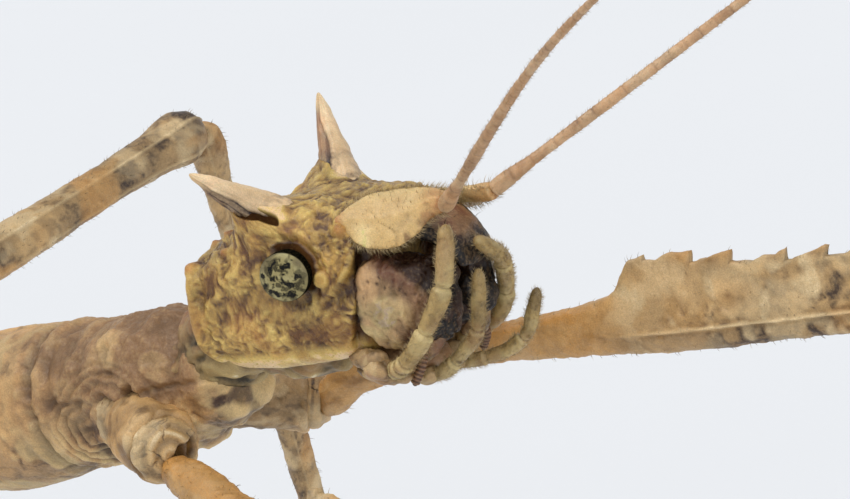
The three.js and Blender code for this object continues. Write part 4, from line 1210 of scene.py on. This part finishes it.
def trochanter(leg, seed, dense):
    """The short joint between coxa and femur, with folds and a hollow across its face."""
    coxa_end = leg["coxa_end"]
    way = unit(coxa_end - leg["coxa_root"])
    bend = unit(leg["bend"] - coxa_end)
    across = unit(np.cross(way, Z))
    radius = leg["coxa"] * 0.84
    girth = [[at, radius * size, radius * size]
             for at, size in ((0, 1), (0.5, 1), (0.62, 1.04), (0.85, 0.98), (1, 0.9))]
    rings, cap_rings = (140, 40) if dense else (50, 14)
    grid, share, _ = sweep([coxa_end + way * reach for reach in (-0.5, 0.12, 0.42)], girth, across,
                           rings=rings, around=rings, caps=(0.02, 0.34), cap_rings=cap_rings)
    q = warped(grid, 2.2, 0.14, seed)
    rel = grid - coxa_end
    right = rel @ unit(bend - way * (way @ bend))
    high = rel @ np.cross(across, way)
    out = rel @ way
    from_centre = np.sqrt(np.maximum(np.sum(rel**2, -1) - out**2, 0))
    hollow = np.hypot(right - 0.3, high + 0.02) + 0.1 * noise(q, 3.0, seed + 1)
    hollow = ramp(hollow, 0.3, 0.14) * ramp(out, 0.12, 0.25)
    arcs = np.sin(from_centre * 22 + 2.4 * noise(q, 1.4, seed + 2))
    squiggle = band(noise(q, 4.0, seed + 3), 0.16, 0.03)
    squiggle = squiggle * ramp(noise(q, 1.6, seed + 4) - 0.5 * right, -0.25, 0.05)
    grains = noise(q, 6.0, seed + 5, 2)
    height = 0.026 * arcs - 0.13 * hollow - 0.016 * squiggle + 0.02 * grains
    # Painted shade: the hollow across the face is painted dark, as shade in a recess.
    dark = 0.3 * ramp(arcs, 0.2, -0.8) + 0.6 * squiggle + 0.95 * hollow
    dark += 0.35 * band(share - 0.52, 0.05, 0.01) + 0.3 * ramp(grains, 0.1, 0.5)
    pale = np.maximum(0.5 * spots(q, 1.2, seed + 6, -0.3, 0.3),
                      0.9 * ramp(arcs, 0.3, 0.9) * (1 - squiggle) * ramp(high, -0.1, 0.4))
    warm = 0.3 * hollow + 0.3 * spots(q, 1.3, seed + 7, 0.0, 0.4)
    return shell(raise_by(grid, height), dark, pale * (1 - hollow), warm, 0.55 + 3.5 * height)


def tarsus(leg, across, seed):
    ankle, toe = leg["ankle"], leg["toe"]
    heel = ankle + (toe - ankle) * 0.2
    sole = ankle + (toe - ankle) * 0.6
    heel[2], sole[2] = 0.27, 0.2
    girth = [[0, 0.2, 0.2], [0.12, 0.22, 0.22], [0.42, 0.2, 0.2], [0.78, 0.2, 0.2],
             [0.88, 0.27, 0.24], [0.97, 0.28, 0.24], [1, 0.18, 0.16]]
    grid, share, _ = sweep([ankle, heel, sole, toe], girth, across, rings=110, around=26,
                           caps=(0.03, 0.05))
    near = nearest(share, TARSUS_JOINTS)
    height = 0.02 * ramp(near, 0.05, 0.02) - 0.05 * ramp(near, 0.018, 0.0)
    grid = raise_by(grid, height + 0.006 * noise(grid, 4.0, seed))
    grid[..., 2] = np.maximum(grid[..., 2], SOLE)
    dark = 0.5 * ramp(near, 0.02, 0.0) + 0.3 * spots(grid, 1.2, seed + 1, 0, 0.5)
    shells = [shell(grid, dark, 0.2, 0.35, 0.6)]
    forward = unit((toe - sole) * [1, 1, 0])
    for turn in (-1, 1):
        base = toe + across * turn * 0.1 - forward * 0.22
        claw = [base, base + forward * 0.16 + across * turn * 0.08 + Z * 0.06,
                base + forward * 0.3 - Z * 0.12]
        hook, share, _ = sweep(claw, [[0, 0.06, 0.06], [0.6, 0.04, 0.04], [1, 0.012, 0.012]], Z,
                               rings=30, around=12, caps=(0.05, 0.05))
        hook[..., 2] = np.maximum(hook[..., 2], SOLE)
        shells.append(shell(hook, ramp(share, 0.2, 0.6) * 0.9, 0, 0.5, 0.7))
    return grid, shells


def build_leg(name, seed):
    """One leg in one piece. Gives back the surfaces that carry bristles."""
    pair = name.split("_")[0]
    coxa, places = LEGS[name]
    leg = dict(zip(PLACES, np.array(places, float)), coxa=coxa, sizes=LIMBS[pair])
    across = unit(np.cross(Z, unit(leg["knee"] - leg["bend"])))
    crested = pair == "fore"

    radius = coxa - 0.03
    rings, around, cap_rings = (130, 110, 30) if crested else (60, 60, 8)
    grid, share, _ = sweep([leg["coxa_root"], leg["coxa_end"]],
                           [[0, radius, radius], [0.55, radius, radius], [0.85, radius, radius],
                            [1, radius * 0.94, radius * 0.94]],
                           across, rings=rings, around=around, caps=(0.02, 0.06),
                           cap_rings=cap_rings)
    dark, pale, warm, height = limb_marks(grid, share, seed)
    folds = noise(warped(grid, 1.4, 0.2, seed + 80) * [0.6, 1, 1], 1.9, seed + 81)
    grid = raise_by(grid, height * 1.6 + 0.05 * folds + 0.05 * band(share - 0.93, 0.06))
    dark = dark * 1.2 + 0.4 * ramp(folds, 0.05, -0.4)
    pale = np.clip(pale + 0.3 * ramp(share, 0.15, 0.02) + 0.1, 0, 0.7)
    shells = [shell(grid, dark, pale, 0.6 * warm + 0.1, 0.5 + 4 * (height + 0.05 * folds)),
              trochanter(leg, seed + 90, crested)]

    thigh, thigh_shell = femur(leg, across, crested, seed + 10)

    thick = leg["sizes"][4]
    girth = [[0, thick * 0.8, thick * 0.8], [0.02, thick * 1.05, thick * 1.05],
             [0.06, thick * 0.9, thick * 0.9], [0.5, thick * 0.8, thick * 0.84],
             [0.94, thick * 0.82, thick * 0.86], [0.98, thick, thick],
             [1, thick * 0.7, thick * 0.7]]
    shin, share, angle = sweep([leg["knee"], leg["ankle"]], girth, across, rings=220, around=40,
                               square=(0.8, 0.8), caps=(0.012, 0.012))
    dark, pale, warm, height = limb_marks(shin, share, seed + 20, bands=0.35)
    keel = band(np.abs(np.sin(angle)) - KEEL, 0.1)
    shin = raise_by(shin, height + 0.025 * keel)
    foot, foot_shells = tarsus(leg, across, seed + 30)
    shells += [thigh_shell, shell(shin, dark, pale + 0.3 * keel, warm, 0.55 + 5 * height),
               *foot_shells]
    nodes = [f"{name}_{part}" for part in ("coxa", "femur", "tibia", "tarsus")]
    piece(f"leg_{name}_skin", "leg", nodes, shells)
    return [(thigh, "leg"), (shin, "leg"), (foot, "tarsus")]


# ---- Bristles ----
# On each kind of surface: how many, length, radius, lean along the surface and darkness.
BRISTLES = {"palp": (1500, 0.075, 0.004, 0.35, 0.15), "labrum": (60, 0.26, 0.006, 0.2, 0.9),
            "scape": (800, 0.15, 0.005, 0.3, 0.15), "flagellum": (1300, 0.07, 0.004, 0.8, 0.3),
            "leg": (900, 0.1, 0.006, 0.5, 0.5), "tarsus": (300, 0.1, 0.006, 0.5, 0.5)}
POINTS_EACH = 7  # three at the root, three halfway and the tip


def leaf_edges(grid):
    """Where bristles stand on a scape: its two thin edges."""
    return ramp(np.abs(np.cos(turns(grid.shape[1]))), 0.93, 0.99) + 0.03 + blank(grid)


def bristle_coat(name, turn, sources):
    """Tiny bent spikes, three sides each, on surfaces that turn takes to the model's frame."""
    points, tris, marks, places = [], [], [], []
    count = 0
    columns = math.ceil(math.sqrt(len(sources)))
    for number, (grid, kind) in enumerate(sources):
        wanted, length, radius, lean, shade = BRISTLES[kind]
        rings, around = grid.shape[:2]
        facing = normals(grid)
        area = np.cross(np.roll(grid, -1, 1) - grid, np.gradient(grid, axis=0))
        weight = np.linalg.norm(area, axis=-1)
        if kind == "scape":
            weight = weight * leaf_edges(grid)
        if turn is not from_head:
            weight = weight * ((facing[..., 2] > -0.3) | (grid[..., 2] > 0.6))
        weight[:3] = weight[-3:] = 0
        picks = rng.choice(rings * around, size=wanted, p=(weight / weight.sum()).ravel())
        i, j = np.divmod(picks, around)
        root, out = grid[i, j], facing[i, j]
        along = unit(grid[np.minimum(i + 1, rings - 1), j] - root)
        way = unit(out + along * lean + rng.normal(0, 0.2, root.shape))
        size = length * rng.uniform(0.5, 1.25, wanted)[:, None]
        side = unit(np.cross(way, along + 1e-3))
        other = np.cross(way, side)
        corners = [root + radius * (math.cos(a) * side + math.sin(a) * other) - way * 0.01
                   for a in (0, 2.1, 4.2)]
        middle = [root + way * size * 0.5 + (c - root) * 0.7 for c in corners]
        tip = root + (way + along * 0.25) * size
        start = count + POINTS_EACH * np.arange(wanted)[:, None]
        for a, b in ((0, 1), (1, 2), (2, 0)):
            tris += [start + [a, b, b + 3], start + [a, b + 3, a + 3], start + [a + 3, b + 3, 6]]
        tris.append(start + [0, 2, 1])
        points.append(turn(np.stack([*corners, *middle, tip], 1)).reshape(-1, 3))
        tint = np.clip(rng.normal(shade, 0.2, wanted), 0, 1)
        mark = np.stack([tint, 0 * tint, 0 * tint, 0 * tint + 0.7], -1)
        marks.append(np.repeat(mark, POINTS_EACH, axis=0))
        tile = np.array([number % columns, number // columns]) / columns
        place = tile + np.stack([i / rings, j / around], -1) * 0.95 / columns
        spread = [[0, 0], [0.003, 0], [0, 0.003], [0, 0], [0.003, 0], [0, 0.003], [0.001, 0.001]]
        places.append((place[:, None] + spread).reshape(-1, 2))
        count += POINTS_EACH * wanted
    faces = np.vstack(tris)
    made = build(name, "bristle", np.vstack(points), np.zeros((0, 4), int), faces,
                 np.vstack(marks))
    chart = made.data.uv_layers.new(name="OFBake")
    chart.data.foreach_set("uv", np.vstack(places)[faces.ravel()].astype(np.float32).ravel())


# ---- Camera, light and floor ----
def photograph_camera():
    back = unit(CAMERA_BACK)
    right = unit(CAMERA_RIGHT)
    right = unit(right - back * (right @ back))
    up = np.cross(back, right)
    shift_right = (HEAD_PIXEL[0] - IMAGE_WIDTH / 2) / PIXELS_PER_MM
    shift_up = (IMAGE_HEIGHT / 2 - HEAD_PIXEL[1]) / PIXELS_PER_MM
    place = (CENTRE + Z * HEAD_HEIGHT - right * shift_right - up * shift_up
             + back * CAMERA_DISTANCE)
    data = bpy.data.cameras.new("camera")
    data.sensor_width = SENSOR_WIDTH
    data.sensor_fit = "HORIZONTAL"
    data.lens = SENSOR_WIDTH * PIXELS_PER_MM * CAMERA_DISTANCE / IMAGE_WIDTH
    data.clip_start, data.clip_end = CLIP_NEAR, CLIP_FAR
    camera = bpy.data.objects.new("camera", data)
    turn = Matrix((right, up, back)).transposed()
    camera.matrix_world = Matrix.Translation(Vector(place * MM)) @ turn.to_4x4()
    bpy.context.scene.collection.objects.link(camera)
    bpy.context.scene.camera = camera


def soft_sun(name, toward, energy, angle, tint):
    """Even, soft light from one direction, as through a large window."""
    lamp = bpy.data.lights.new(name, "SUN")
    lamp.energy, lamp.angle, lamp.color = energy, angle, tint
    window = bpy.data.objects.new(name, lamp)
    window.rotation_euler = Vector(toward).to_track_quat("Z", "Y").to_euler()
    bpy.context.scene.collection.objects.link(window)


def studio():
    scene = bpy.context.scene
    scene.view_settings.view_transform = "Standard"
    world = bpy.data.worlds.new("studio")
    world.use_nodes = True
    sky = world.node_tree.nodes["Background"]
    sky.inputs[0].default_value = (0.93, 0.96, 1.0, 1)
    sky.inputs[1].default_value = 0.66
    scene.world = world
    soft_sun("sky_window", (-0.07, -0.22, 0.5), 1.4, 0.45, (1, 0.97, 0.93))
    soft_sun("fill", (0.26, -0.12, 0.082), 0.8, 0.7, (0.96, 0.98, 1))
    half = 2.0
    corners = [(-half, -half, 0), (half, -half, 0), (half, half, 0), (-half, half, 0)]
    mesh = bpy.data.meshes.new("floor")
    mesh.from_pydata(corners, [], [(0, 1, 2, 3)])
    n = Nodes("floor_paper")
    tone = n.mix(n.noise(40.0), colour(226, 228, 231), colour(230, 232, 235))
    mesh.materials.append(n.finish(Base_Color=tone, Roughness=0.9, Specular_IOR_Level=0.1))
    floor = bpy.data.objects.new("floor", mesh)
    floor.location.z = -0.00001
    scene.collection.objects.link(floor)


# ---- Assembly ----
photograph_camera()
studio()
head_skin()
palps, scapes, flagella = [], [], []
for label, s in SIDES.items():
    eye(label, s)
    horn(label, s)
    scapes.append((scape(label, s), "scape"))
    flagella.append((flagellum(label, s), "flagellum"))
    mandible(label, s)
    palps += [(palp(kind, label, s), "palp") for kind in PALPS]
upper_lip = labrum()
labium()
trunk_skin()
neck()
tail()
legs = [source for i, name in enumerate(LEGS) for source in build_leg(name, 200 + 100 * i)]
# The maxillary palps come before the labial ones, right before left.
bristle_coat("bristles_mouth", from_head,
             [*palps[::2], *palps[1::2], (upper_lip, "labrum")])
bristle_coat("bristles_feelers", from_head, scapes + flagella)
bristle_coat("bristles_legs", np.asarray, legs)
